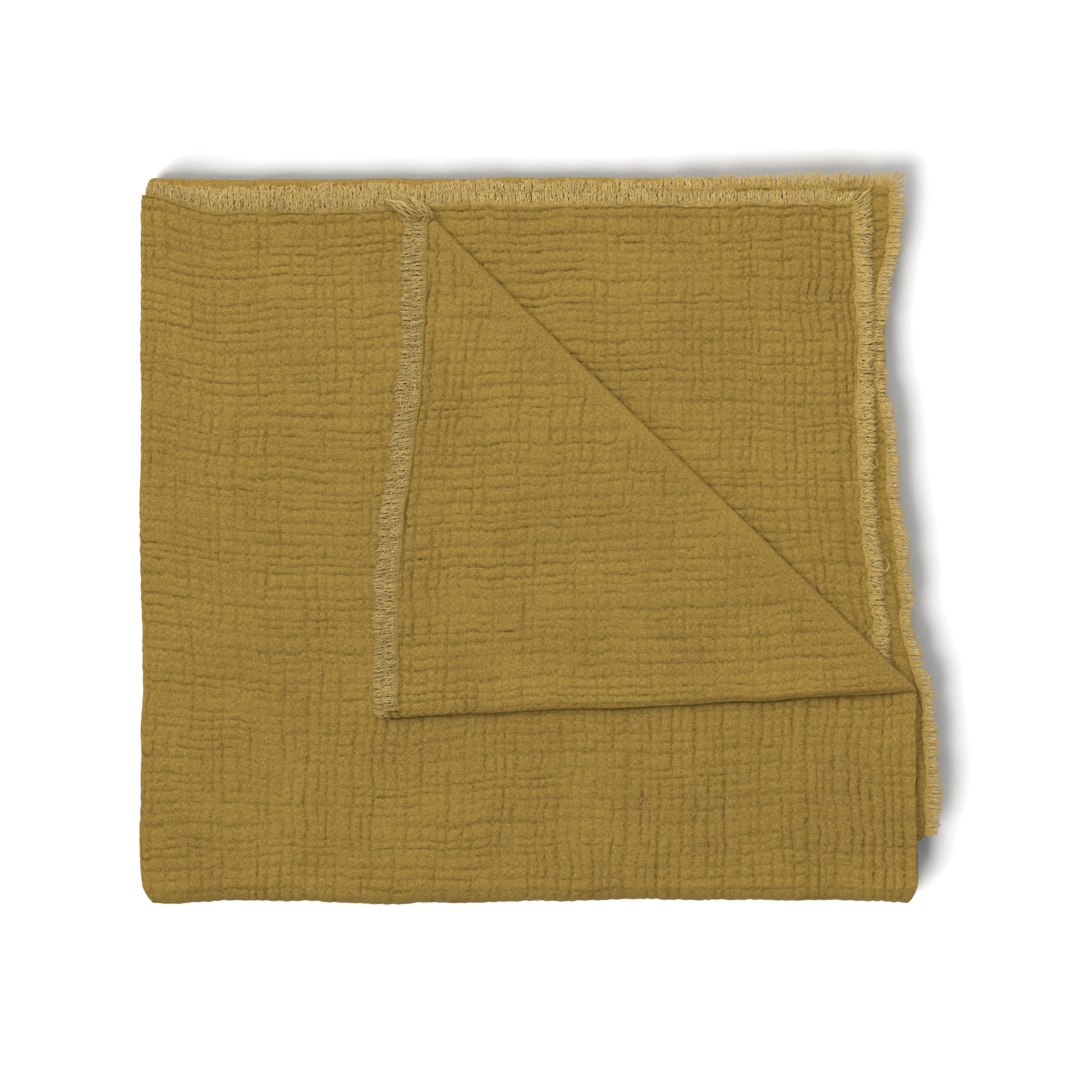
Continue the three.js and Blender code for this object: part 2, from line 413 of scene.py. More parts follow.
    def across(self, rank: Rank, f: Array, g: Array, rise: Array) -> tuple:
        """Sideways place and height within the strip's four layers.

        Args:
            rank: The section.
            f: Across coordinate.
            g: Path coordinate.
            rise: Distance from the cloth's middle, towards the strip's outside.

        Returns:
            x and h, where h is 0 at the strip's middle and positive towards its outside.
        """
        p = self.plan
        level = p.offset(rank)
        low, high = self.left_centre(rank, g), self.right_centre(rank, g)
        x = low + (high - low) * np.clip(f, 0, 1)
        h = level + rise
        turn = np.clip(-f, 0, 1) * math.pi / 2
        sign = math.copysign(1.0, level)
        radius = abs(level) + rise * sign
        x = np.where(f < 0, low - radius * np.sin(turn), x)
        h = np.where(f < 0, sign * radius * np.cos(turn), h)
        if rank.joined_right:
            centre = (p.offset(Rank.OUTER) + p.offset(Rank.SECOND)) / 2
            turn = np.clip(f - 1, 0, 1) * math.pi / 2
            sign = math.copysign(1.0, level - centre)
            radius = abs(level - centre) + rise * sign
            x = np.where(f > 1, high + radius * np.sin(turn), x)
            h = np.where(f > 1, centre + sign * radius * np.cos(turn), h)
        return x, h

    def along(self, rank: Rank, g: Array, x: Array, h: Array, middle: Array, past: Array) -> tuple:
        """Carries the strip along its path of panels and bends.

        Args:
            rank: The section.
            g: Path coordinate.
            x: Sideways place.
            h: Height within the strip.
            middle: The same for the cloth's middle, which sets where the bends begin.
            past: How far a loose yarn runs on past the raw end.

        Returns:
            y and z.
        """
        p = self.plan
        depth = (p.offset(Rank.OUTER) - middle) / (3 * p.pitch)
        top = p.top_centre - self.top_crease_step * 3 * depth
        low = p.bottom_outer + (p.bottom_inner - p.bottom_outer) * depth
        back, tucked, front = p.height("back"), p.height("tucked"), p.height("front")
        y = p.tucked_end + (top - p.tucked_end) * np.clip(g, 0, 1) - np.where(g < 1, past, 0.0)
        z = tucked + h
        turn = np.clip(g - 1, 0, 1) * math.pi
        radius = (tucked - back) / 2 + h
        y = np.where(g > 1, top + radius * np.sin(turn), y)
        z = np.where(g > 1, (tucked + back) / 2 + radius * np.cos(turn), z)
        y = np.where(g > 2, top + (low - top) * (g - 2), y)
        turn = np.clip(g - 3, 0, 1) * math.pi
        radius = (front - back) / 2 + h
        y = np.where(g > 3, low - radius * np.sin(turn), y)
        z = np.where(g > 3, (front + back) / 2 - radius * np.cos(turn), z)
        y = np.where(g > 4, low + (self.raw_top(rank, x) - low) * (g - 4) + past, y)
        return y, z

    def turned(self, x: Array, y: Array, z: Array, middle: Array) -> tuple:
        """Folds what lies past the diagonal over and back, round a bend about the diagonal's height.

        Args:
            x: Place before the corner is turned.
            y: Place before the corner is turned.
            z: Place before the corner is turned.
            middle: Height of the cloth's middle there, which sets the bend's radius.

        Returns:
            x, y and z with the corner turned.
        """
        d = self.diagonal
        past = d.past(x, y)
        bend = d.height - middle
        angle = np.clip(past / bend, 0, math.pi)
        radius = d.height - z
        flat = np.maximum(past - math.pi * bend, 0)
        moved = np.where(past > 0, radius * np.sin(angle) - flat, past)
        height = np.where(past > 0, d.height - radius * np.cos(angle), z)
        beside = smooth((x - self.plan.right) / self.corner_lift_width + 1)
        height = height + self.corner_lift * beside * smooth(flat / self.corner_lift_width)
        shift = moved - past
        return x + shift * d.along[1], y - shift * d.along[0], height

    def settled(self, x: Array, y: Array, z: Array) -> tuple:
        """The soft stack's slow unevenness, the same in all its layers. It lies flat on what it rests on.

        Args:
            x: Place in the even stack.
            y: Place in the even stack.
            z: Height in the even stack.

        Returns:
            x, y and z in the soft stack.
        """
        dx = ripple(x / self.drift_length, y / self.drift_length, 11) * self.drift
        dx = dx + ripple(x / self.nudge_length, y / self.nudge_length, 14) * self.nudge
        dy = ripple(x / self.drift_length, y / self.drift_length, 12) * self.drift
        dy = dy + ripple(x / self.nudge_length, y / self.nudge_length, 15) * self.nudge
        low = smooth(1 - (y - self.plan.bottom) / self.corner_round)
        beside = smooth((np.abs(x) - self.plan.right + self.corner_width) / self.corner_width)
        dx = dx - np.sign(x) * self.corner_pull * low * beside
        from_diagonal = np.abs(self.diagonal.past(x, y) - self.diagonal.reach / 2)
        loose = smooth(from_diagonal / self.still_width)
        swell = 1 + self.swell * loose * ripple(x / self.drift_length, y / self.drift_length, 13)
        free = self.still_drift + (1 - self.still_drift) * loose
        return x + dx * free, y + dy * free, np.maximum(z * swell, 0.0)

    def place(self, rank: Rank, f: Array, g: Array, rise: Array, out: Array = 0.0, up: Array = 0.0) -> Array:
        """Points of the cloth, or of a yarn that runs on from a raw edge, in the row frame.

        Args:
            rank: The section.
            f: Across coordinate.
            g: Path coordinate.
            rise: Distance from the cloth's middle, towards the strip's outside.
            out: How far past a raw right-hand edge.
            up: How far past a raw end.

        Returns:
            An array of points.
        """
        x, h = self.across(rank, f, g, rise)
        _, middle = self.across(rank, f, g, np.zeros_like(f))
        x = x + out
        y, z = self.along(rank, g, x, h, middle, up)
        if rank.joined_right:
            _, z_middle = self.along(rank, g, x, middle, middle, up)
            on_front = g > Run.FRONT.value[0]
            folded = self.turned(x, y, z, z_middle)
            x, y, z = (np.where(on_front, a, b) for a, b in zip(folded, (x, y, z)))
        return np.stack(self.settled(x, y, z), axis=-1)


# --- The crinkle ----------------------------------------------------------------------------------------


@dataclass(frozen=True)
class Crinkle:
    """Double gauze: two thin layers tacked together on a grid of threads, puffed up into squares between
    them.

    Each entry of wanders is how far a tacking thread strays, over what length across it, and over what
    length along it.
    """

    fold: StackFold
    square: float = 7.3 * MM
    furrow: float = 1.9 * MM
    tacked: float = 0.16 * MM
    puffed: float = 0.92 * MM
    sway: float = 0.30 * MM
    length_swells: tuple = (0.037, 0.0233)
    width_swells: tuple = (0.041, 0.0219)
    wanders: tuple = ((3.2 * MM, 0.14, 0.14), (1.4 * MM, 0.045, 0.028), (0.85 * MM, 0.012, 0.0075),
                      (0.22 * MM, 0.008, 0.0042))
    # Over what length a thread's pull changes and lets go, and how big the loose and tight patches are.
    thread_change: float = 0.050
    letting_go: float = 0.0085
    patch_length: float = 0.10
    raw_reach: float = 0.020
    calm_reach: float = 6.0 * MM
    calmed: float = 0.85

    @property
    def calm_half(self) -> float:
        """Half the cloth's thickness where it is drawn smooth over the diagonal bend."""
        return self.tacked + (self.puffed - self.tacked) * (1 - self.calmed)

    def by_diagonal(self, rank: Rank, f: Array, g: Array) -> tuple:
        """How near a place is to the diagonal bend, and how far it is on the turned corner.

        Args:
            rank: The section.
            f: Across coordinate.
            g: Path coordinate.

        Returns:
            Two shares from 0 to 1: 1 over the bend, where the cloth is drawn smooth, and 1 on the corner.
        """
        zero = np.zeros_like(f)
        if not rank.joined_right:
            return zero, zero
        x, h = self.fold.across(rank, f, g, zero)
        y, z = self.fold.along(rank, g, x, h, h, zero)
        diagonal = self.fold.diagonal
        past = diagonal.past(x, y)
        outside = np.maximum(np.maximum(-past, past - math.pi * (diagonal.height - z)), 0.0)
        front = g > Run.FRONT.value[0]
        return np.exp(-((outside / self.calm_reach) ** 2)) * front, smooth(past / 0.020) * front

    def cloth(self, rank: Rank, f: Array, g: Array) -> tuple:
        """Places on the flat cloth, in metres: u along the throw's length, v along its width.

        Args:
            rank: The section.
            f: Across coordinate.
            g: Path coordinate.

        Returns:
            u and v.
        """
        p = self.fold.plan
        width = p.right - p.left
        arc = 1.5 * p.pitch * math.pi / 2
        a = np.clip(f, 0, 1) * width + (np.clip(f, -1, 0) + np.clip(f - 1, 0, 1)) * arc
        u = {
            Rank.OUTER: a,
            Rank.SECOND: 2 * (width + arc) - a,
            Rank.THIRD: 2 * (width + arc) + 2 * arc + a,
            Rank.INNER: -2 * arc - a,
        }[rank]
        depth = p.top - p.bottom
        v = np.interp(g, (0, 1, 2, 3, 4, 5), (0.06, 0.06 + depth * 0.9, 0.08 + depth * 0.9,
                                              0.08 + depth * 1.9, 0.115 + depth * 1.9, 0.115 + depth * 2.9))
        return u, v

    def tacks(self, u: Array, v: Array) -> tuple:
        """Coordinates that are whole numbers on the tacking threads. The threads lie unevenly and wander.

        Args:
            u: Place along the throw's length.
            v: Place along its width.

        Returns:
            Two counts of threads.
        """
        uu, vv = u, v
        for seed, (stray, across, along) in enumerate(self.wanders):
            uu = uu + stray * ripple(u / across, v / along, 50 + seed)
            vv = vv + stray * ripple(u / along, v / across, 60 + seed)
        return self.count_threads(uu, self.length_swells), self.count_threads(vv, self.width_swells)

    def count_threads(self, place: Array, swells: tuple) -> Array:
        """Counts threads along one direction, where their spacing swells slowly and quickly.

        Args:
            place: Places in metres.
            swells: The slow swell's length and the quick one's.

        Returns:
            The count, whole on a thread.
        """
        turns = place * 2 * math.pi
        slow, quick = swells
        return place / self.square + 0.17 * np.sin(turns / slow) + 0.14 * np.sin(turns / quick)

    def strengths(self, rank: Rank, f: Array, g: Array, u: Array, v: Array, s: Array, t: Array) -> tuple:
        """How deep the furrows run: along the strip, and across it.

        Each thread pulls differently, changes along its length, and lets go here and there. Threads beside
        a raw edge pull hardest, and those over the turned corner's bend hardly at all.

        Args:
            rank: The section.
            f: Across coordinate.
            g: Path coordinate.
            u: Place along the throw's length.
            v: Place along its width.
            s: Count of the threads along the strip.
            t: Count of the threads across it.

        Returns:
            The two pulls, from 0 to 1.2.
        """
        p = self.fold.plan
        own_s = ripple(np.round(s) * 7.31 + 0.5, v / self.thread_change, 21)
        own_t = ripple(u / self.thread_change, np.round(t) * 7.31 + 0.5, 22)
        cell_s = ripple(np.round(s) * 5.77 + 0.5, v / self.letting_go, 24)
        cell_t = ripple(u / self.letting_go, np.round(t) * 5.77 + 0.5, 25)
        patch = ripple(u / self.patch_length, v / self.patch_length, 23)
        to_end = (5.0 - g) * (p.top - p.bottom)
        to_side = (1.0 - f) * (p.right - p.left)
        low_right = smooth((f - 0.25) / 0.6) * smooth((4.55 - g) / 0.35) * (g > 4)
        along = 0.46 + 0.34 * own_s + 0.34 * cell_s + 0.16 * patch + 0.26 * low_right
        cross = 0.52 + 0.36 * own_t + 0.34 * cell_t - 0.16 * patch
        cross = cross + 0.12 * smooth((g - 4.3) / 0.5) - 0.10 * low_right
        cross = cross + (0.50 + 0.35 * cell_t) * np.exp(-np.abs(to_end) / self.raw_reach) * (g > 4)
        if not rank.joined_right:
            along = along + (0.50 + 0.35 * cell_s) * np.exp(-np.abs(to_side) / self.raw_reach)
        near, turned = self.by_diagonal(rank, f, g)
        along = along + 0.10 * turned
        cross = cross - 0.24 * turned * (1 - np.exp(-np.abs(to_end) / 0.030))
        calm = 1 - self.calmed * near
        return np.clip(along, 0.0, 1.2) * calm, np.clip(cross, 0.0, 1.2) * calm

    def dip(self, s: Array, t: Array, along: Array, cross: Array) -> Array:
        """0 on top of a puffed square, 1 down in a strong furrow.

        Args:
            s: Count of the threads along the strip.
            t: Count of the threads across it.
            along: Pull of the threads along the strip.
            cross: Pull of the threads across it.

        Returns:
            The dip.
        """
        width = self.furrow / self.square
        ds = np.abs(s - np.round(s))
        dt = np.abs(t - np.round(t))
        a = along * np.exp(-((ds / width) ** 1.5))
        b = cross * np.exp(-((dt / width) ** 1.5))
        crown = 0.30 * ((2 * ds) ** 2 + (2 * dt) ** 2) / 2
        return np.clip(a + b - 0.5 * a * b + 0.24 - crown, 0, 1.25)

    def rise(self, rank: Rank, f: Array, g: Array, side: Side) -> Array:
        """How far one gauze layer stands off the cloth's middle.

        Args:
            rank: The section.
            f: Across coordinate.
            g: Path coordinate.
            side: The gauze layer.

        Returns:
            Distances in metres, towards the outside of the strip.
        """
        u, v = self.cloth(rank, f, g)
        s, t = self.tacks(u, v)
        along, cross = self.strengths(rank, f, g, u, v, s, t)
        near, _ = self.by_diagonal(rank, f, g)
        stands = (self.puffed - self.tacked) * (1 - self.calmed * near)
        puff = self.tacked + stands * (1 - self.dip(s, t, along, cross))
        sway = self.sway * ripple(u / 0.013, v / 0.013, 7) + 0.12 * MM * ripple(u / 0.0065, v / 0.0065, 10)
        return side.value * puff + sway * (1 - 0.95 * near)

    def surface(self, rank: Rank, f: Array, g: Array, side: Side) -> Array:
        """Points on one gauze layer in the row frame."""
        return self.fold.place(rank, f, g, self.rise(rank, f, g, side))


# --- Cloth pieces ---------------------------------------------------------------------------------------


@dataclass
class Patch:
    """A stretch of cloth as a mesh on its flat coordinates: each vertex's f and g, and the faces' corners."""

    f: Array
    g: Array
    corners: Array
    sizes: Array

    @staticmethod
    def grid(f: Array, g: Array) -> "Patch":
        """A patch of quads on these across and path coordinates.

        Args:
            f: Across coordinates of the columns.
            g: Path coordinates of the rows.

        Returns:
            The patch.
        """
        ff, gg = np.meshgrid(f, g)
        n = len(f)
        first = (np.arange(len(g) - 1)[:, None] * n + np.arange(n - 1)[None, :]).ravel()
        quads = np.stack([first, first + 1, first + n + 1, first + n], axis=1)
        return Patch(ff.ravel(), gg.ravel(), quads.ravel(), np.full(len(quads), 4))

    def part(self, keep: Array) -> "Patch":
        """The patch with only some of its faces.

        Args:
            keep: Whether each face stays.

        Returns:
            The smaller patch.
        """
        corners = self.corners[np.repeat(keep, self.sizes)]
        used, index = np.unique(corners, return_inverse=True)
        return Patch(self.f[used], self.g[used], index.ravel(), self.sizes[keep])

    def rim(self) -> Array:
        """The edges that only one face has, as pairs of vertices in that face's order.

        Returns:
            The pairs, one row each.
        """
        starts = np.concatenate([[0], np.cumsum(self.sizes)[:-1]])
        after = np.arange(len(self.corners)) + 1
        after[starts + self.sizes - 1] = starts
        pairs = np.stack([self.corners, self.corners[after]], axis=1)
        n = len(self.f)
        forward = pairs[:, 0] * n + pairs[:, 1]
        back = pairs[:, 1] * n + pairs[:, 0]
        return pairs[~np.isin(forward, back)]

    def cut(self, x: Array, y: Array, lines: list, diagonal: Diagonal) -> "Patch":
        """The patch with edges added along lines parallel to the diagonal.

        Args:
            x: Each vertex's place before the corner is turned.
            y: Each vertex's place before the corner is turned.
            lines: Distances past the bend's centre line.
            diagonal: The crease.

        Returns:
            The new patch.
        """
        mesh = bpy.data.meshes.new("flat")
        points = np.stack([x, y, np.zeros_like(x)], axis=1)
        build_mesh(mesh, points, self.corners, self.sizes)
        for name, values in (("f", self.f), ("g", self.g)):
            mesh.attributes.new(name, "FLOAT", "POINT").data.foreach_set("value", values.astype(np.float32))
        bm = bmesh.new()
        bm.from_mesh(mesh)
        across = (diagonal.along[1], -diagonal.along[0], 0.0)
        band = 4 * MM
        for line in lines:
            near = []
            for face in bm.faces:
                c = face.verts[0].co
                if abs(diagonal.past(c.x, c.y) - line) < band:
                    near.append(face)
            geometry = near + list({e for face in near for e in face.edges})
            geometry += list({v for face in near for v in face.verts})
            at = [diagonal.point[i] + across[i] * (line - diagonal.reach) for i in (0, 1)]
            bmesh.ops.bisect_plane(bm, geom=geometry, dist=1e-6, plane_co=(*at, 0.0), plane_no=across)
        bm.to_mesh(mesh)
        bm.free()
        values = {}
        for name in ("f", "g"):
            values[name] = np.zeros(len(mesh.vertices), np.float32)
            mesh.attributes[name].data.foreach_get("value", values[name])
        corners = np.zeros(len(mesh.loops), np.int32)
        mesh.loops.foreach_get("vertex_index", corners)
        sizes = np.zeros(len(mesh.polygons), np.int32)
        mesh.polygons.foreach_get("loop_total", sizes)
        bpy.data.meshes.remove(mesh)
        return Patch(values["f"].astype(float), values["g"].astype(float), corners, sizes)


def build_mesh(mesh: bpy.types.Mesh, points: Array, corners: Array, sizes: Array) -> None:
    """Fills an empty mesh with points and faces.

    Args:
        mesh: The empty mesh.
        points: Its points.
        corners: Every face's corners, one face after the other.
        sizes: How many corners each face has.
    """
    mesh.vertices.add(len(points))
    mesh.vertices.foreach_set("co", points.astype(np.float32).ravel())
    mesh.loops.add(len(corners))
    mesh.loops.foreach_set("vertex_index", corners.astype(np.int32))
    mesh.polygons.add(len(sizes))
    starts = np.concatenate([[0], np.cumsum(sizes)[:-1]]).astype(np.int32)
    mesh.polygons.foreach_set("loop_start", starts)
    mesh.update(calc_edges=True)


def new_object(name: str, mesh: bpy.types.Mesh, material: bpy.types.Material) -> bpy.types.Object:
    """An object in the scene with this mesh and material.

    Args:
        name: The object's name.
        mesh: Its mesh.
        material: Its material.

    Returns:
        The new object.
    """
    mesh.materials.append(material)
    piece = bpy.data.objects.new(name, mesh)
    bpy.context.scene.collection.objects.link(piece)
    return piece


@dataclass(frozen=True)
class ClothMaker:
    """Turns a patch of flat cloth into a closed, crinkled sheet in its folded place."""

    fold: StackFold
    crinkle: Crinkle
    material: bpy.types.Material
    probe: float = 0.25 * MM

    def normals(self, rank: Rank, f: Array, g: Array, side: Side) -> Array:
        """Surface directions from the map itself, so that they agree where two pieces meet.

        Args:
            rank: The section.
            f: Across coordinate.
            g: Path coordinate.
            side: The gauze layer.

        Returns:
            Unit vectors that point out of the cloth.
        """
        p = self.fold.plan
        df = self.probe / (p.right - p.left)
        dg = self.probe / (p.top - p.bottom)
        arc_f = np.where((f < 0) | (f > 1), 0.04, df)
        arc_g = np.where(((g > 1) & (g < 2)) | ((g > 3) & (g < 4)), 0.01, dg)
        a = self.crinkle.surface(rank, f + arc_f, g, side) - self.crinkle.surface(rank, f - arc_f, g, side)
        b = self.crinkle.surface(rank, f, g + arc_g, side) - self.crinkle.surface(rank, f, g - arc_g, side)
        n = np.cross(a, b) * side.value
        length = np.linalg.norm(n, axis=1, keepdims=True)
        return n / np.maximum(length, 1e-12)

    def make(self, name: str, rank: Rank, patch: Patch) -> bpy.types.Object:
        """One piece of cloth.

        Args:
            name: The piece's name.
            rank: The section that it is cut from.
            patch: Its flat mesh.

        Returns:
            The new object.
        """
        f, g = patch.f, patch.g
        outward = self.crinkle.surface(rank, f, g, Side.OUTWARD)
        inward = self.crinkle.surface(rank, f, g, Side.INWARD)
        count = len(f)
        starts = np.concatenate([[0], np.cumsum(patch.sizes)[:-1]])
        ends = np.repeat(starts + patch.sizes - 1, patch.sizes)
        place = np.arange(len(patch.corners)) - np.repeat(starts, patch.sizes)
        reverse = patch.corners[ends - place] + count
        rim = patch.rim()
        walls = np.stack([rim[:, 1], rim[:, 0], rim[:, 0] + count, rim[:, 1] + count], axis=1)
        corners = np.concatenate([patch.corners, reverse, walls.ravel()])
        sizes = np.concatenate([patch.sizes, patch.sizes, np.full(len(walls), 4)])
        mesh = bpy.data.meshes.new(name)
        build_mesh(mesh, np.concatenate([outward, inward]), corners, sizes)
        u, v = self.crinkle.cloth(rank, f, g)
        s, t = self.crinkle.tacks(u, v)
        along, cross = self.crinkle.strengths(rank, f, g, u, v, s, t)
        both = {
            "cloth": np.tile(np.stack([u, v], axis=1), (2, 1)),
            "tacks": np.tile(np.stack([s, t], axis=1), (2, 1)),
        }
        for layer, values in both.items():
            uv = mesh.uv_layers.new(name=layer)
            uv.uv.foreach_set("vector", values[corners].astype(np.float32).ravel())
        # The pull sets how deep the furrows sink in the material's relief and how dark their painted shade
        # is.
        pull = np.tile(np.stack([along, cross, np.zeros_like(along)], axis=1), (2, 1))
        attribute = mesh.attributes.new("pull", "FLOAT_VECTOR", "POINT")
        attribute.data.foreach_set("vector", pull.astype(np.float32).ravel())
        mesh.shade_smooth()
        normals = np.concatenate([self.normals(rank, f, g, side) for side in (Side.OUTWARD, Side.INWARD)])
        mesh.normals_split_custom_set_from_vertices(normals.astype(np.float32))
        return new_object(name, mesh, self.material)


# --- Frayed edges ---------------------------------------------------------------------------------------


@dataclass(frozen=True)
class Fraying:
    """How a raw edge frays: each thread's end is loose, crimped by the weave that it came out of.

    Yarns are 0.3 mm thick on the real cloth and lie in twos and threes. Each tube here is such a strand,
    thick at its root, where the weave still holds it, and thin at its tip.
    """

    spacing: float = 0.56 * MM
    rows: int = 3
    thickness: float = 0.66 * MM
    length: float = 10.6 * MM
    uneven: float = 0.7 * MM
    crimp: float = 0.44 * MM
    tuft: float = 0.7 * MM
    bundle: float = 1.6 * MM
    gathered: float = 0.48
    fluff: float = 0.85 * MM
    curl: float = 1.5 * MM
    steps: int = 13
    sides: int = 3


class RawEdge(Enum):
    """Which raw edge of a section frays: its end, or its right-hand side."""

    END = "end"
    SIDE = "side"


@dataclass(frozen=True)
class YarnMaker:
    """Makes the loose yarns of a raw edge as thin bent tubes."""

    fold: StackFold
    material: bpy.types.Material

    def tubes(self, centres: Array, radius: Array, sides: int) -> tuple:
        """Closed tubes along polylines.

        Args:
            centres: Points of each yarn, (yarns, steps, 3).
            radius: Radius at each step of each yarn.
            sides: Sides of a tube.

        Returns:
            Points, corners and face sizes.
        """
        yarns, steps, _ = centres.shape
        ahead = np.gradient(centres, axis=1)
        ahead /= np.maximum(np.linalg.norm(ahead, axis=2, keepdims=True), 1e-12)
        reference = np.where(np.abs(ahead[..., 2:3]) > 0.9, (1.0, 0.0, 0.0), (0.0, 0.0, 1.0))
        side = np.cross(ahead, reference)
        side /= np.maximum(np.linalg.norm(side, axis=2, keepdims=True), 1e-12)
        up = np.cross(side, ahead)
        angle = np.arange(sides) * 2 * math.pi / sides
        ring = (side[:, :, None] * np.cos(angle)[None, None, :, None]
                + up[:, :, None] * np.sin(angle)[None, None, :, None])
        points = centres[:, :, None] + ring * radius[:, :, None, None]
        base = np.arange(yarns)[:, None, None] * steps * sides
        step = np.arange(steps - 1)[None, :, None] * sides
        j = np.arange(sides)[None, None, :]
        k = (j + 1) % sides
        low = base + step
        quads = np.stack([low + j, low + k, low + sides + k, low + sides + j], axis=-1)
        caps_low = base[:, 0] + (sides - 1 - np.arange(sides))[None, :]
        caps_high = base[:, 0] + (steps - 1) * sides + np.arange(sides)[None, :]
        quads = quads.reshape(-1, 4)[:, ::-1]
        corners = np.concatenate([quads.ravel(), caps_low[:, ::-1].ravel(), caps_high[:, ::-1].ravel()])
        sizes = np.concatenate([np.full(len(quads), 4), np.full(2 * yarns, sides)])
        return points.reshape(-1, 3), corners, sizes

    def ends(self, rank: Rank, edge: RawEdge, low: float, high: float, run: Run,
             fraying: Fraying, seed: int) -> tuple:
        """Centre lines of the loose ends along one raw edge.

        Args:
            rank: The section.
            edge: Its end or its side.
            low: Where the edge starts, as f on an end and g on a side.
            high: Where the edge stops.
            run: The path stretch that the edge belongs to.
            fraying: How it frays.
            seed: Seed of the random draws.

        Returns:
            Points of each yarn, its radius at each step, and the place of its root on the edge.
        """
        random = np.random.default_rng(seed)
        p = self.fold.plan
        width = (p.right - p.left) if edge is RawEdge.END else (p.top - p.bottom)
        count = int((high - low) * width / fraying.spacing) * fraying.rows
        root = low + (high - low) * (np.arange(count) + random.uniform(0, 1, count)) / count
        share = np.linspace(0, 1, fraying.steps)[None, :]
        place = root * width
        row = seed + 0 * place
        slipped = place + 0.8 * MM * ripple(place / 0.0041, row + 0.25, 39)
        bundle = np.floor(slipped / fraying.bundle).astype(np.int64)
        draws = [lattice(bundle, n + 0 * bundle, seed) for n in range(6)]
        bend, middle, timing, coils, reaching, height = draws
        length = fraying.length + fraying.uneven * random.normal(0, 1, count) + 0.7 * MM * reaching
        length += 1.6 * MM * ripple(place / 0.010, row, 31) + 0.6 * MM * ripple(place / 0.0034, row, 38)
        length = np.clip(length, 3 * MM, fraying.length + 3.2 * MM)
        centre = (bundle + 0.5 + 0.35 * middle) * fraying.bundle
        gather = 1.8 * MM * ripple(place / 0.017, row + 0.5, 33) + fraying.tuft * bend
        phase = timing[:, None] * 2 * math.pi + random.normal(0, 1.3, (count, 1))
        turns = 2.4 + 0.8 * coils[:, None]
        swing = fraying.crimp * random.uniform(0.7, 1.3, (count, 1))
        curl = random.normal(0, 1, (count, 1)) * fraying.curl
        angle = phase + share * turns * 2 * math.pi
        lean = 0.0
        if not rank.joined_right and run is Run.FRONT:
            lean = 0.75 * np.exp(-(high - root) * width / (6 * MM))[:, None] * length[:, None] * share
        sideways = lean + gather[:, None] * share ** 1.3 + swing * np.sin(angle) * smooth(share * 4)
        sideways = sideways + fraying.gathered * (centre - place)[:, None] * smooth(share * 1.7)
        sideways = sideways + curl * np.maximum(share - 0.5, 0) ** 2 * 2
        reach = length[:, None] * (share - 0.08) * (1 - 0.12 * share ** 2) + 0.4 * swing * np.cos(angle)
        tall = fraying.fluff * (0.9 * height + random.uniform(-0.5, 0.5, count))
        lift = (tall[:, None] + 0.35 * MM) * np.sin(share * math.pi * 0.75)
        lift = lift - 0.30 * MM * (1 - smooth(share * 4))
        lift = lift + 0.25 * MM * np.sin(angle * 0.7 + 1.0) * smooth(share * 3)
        if edge is RawEdge.END:
            f = root[:, None] + sideways / width
            beyond = 0.0 if rank.joined_right else np.maximum(f - 1, 0) * width
            at = run.value[1] if run is Run.FRONT else run.value[0]
            g = np.full_like(f, at - 1e-6 if run is Run.FRONT else at + 1e-6)
            points = self.fold.place(rank, f, g, lift, beyond, reach)
        else:
            g = np.clip(root[:, None] + sideways / width, run.value[0] + 1e-6, run.value[1] - 1e-6)
            spill = (root[:, None] + sideways / width - g) * width
            f = np.full_like(g, 1.0)
            points = self.fold.place(rank, f, g, lift, reach, spill if run is Run.FRONT else 0.0)
        taper = fraying.thickness / 2 * (1.6 - 1.2 * share ** 0.8) * random.uniform(0.75, 1.2, (count, 1))
        return points, taper, root

    def strays(self, rank: Rank, edge: RawEdge, low: float, high: float, run: Run,
               fraying: Fraying, seed: int) -> tuple:
        """Centre lines of the threads that run along the edge and have worked loose from the weave.

        Args:
            rank: The section.
            edge: Its end or its side.
            low: Where the edge starts, as f on an end and g on a side.
            high: Where the edge stops.
            run: The path stretch that the edge belongs to.
            fraying: How it frays.
            seed: Seed of the random draws.

        Returns:
            Points of each thread, and its radius at each step.
        """
        random = np.random.default_rng(seed + 500)
        p = self.fold.plan
        width = (p.right - p.left) if edge is RawEdge.END else (p.top - p.bottom)
        steps = 44
        pieces = max(2, int((high - low) * width / 0.030))
        lines = []
        for row in range(3):
            start = low + (high - low) * (np.arange(pieces) + random.uniform(-0.4, 0.4, pieces)) / pieces
            span = random.uniform(0.022, 0.044, pieces) / width
            share = np.linspace(0, 1, steps)[None, :]
            place = start[:, None] + span[:, None] * share
            wave = ripple(place * width / 0.0034, 0 * place + row + seed, 34)
            reach = (0.6 + 1.7 * row) * MM + 0.9 * MM * wave
            reach += 1.5 * MM * ripple(place * width / 0.013, 0 * place + row + seed, 35)
            slip = 0.8 * MM * ripple(place * width / 0.0027, 0 * place + row + seed + 7, 36)
            along = np.clip(place + slip / width, low, high)
            lift = 0.45 * MM * ripple(place * width / 0.0031, 0 * place + row + seed + 3, 37) + 0.1 * MM
            if edge is RawEdge.END:
                at = run.value[1] - 1e-6 if run is Run.FRONT else run.value[0] + 1e-6
                lines.append(self.fold.place(rank, along, np.full_like(along, at), lift, 0.0, reach))
            else:
                g = np.clip(along, run.value[0] + 1e-6, run.value[1] - 1e-6)
                lines.append(self.fold.place(rank, np.ones_like(g), g, lift, reach, 0.0))
        points = np.concatenate(lines)
        return points, np.full(points.shape[:2], fraying.thickness / 2 * 0.85)

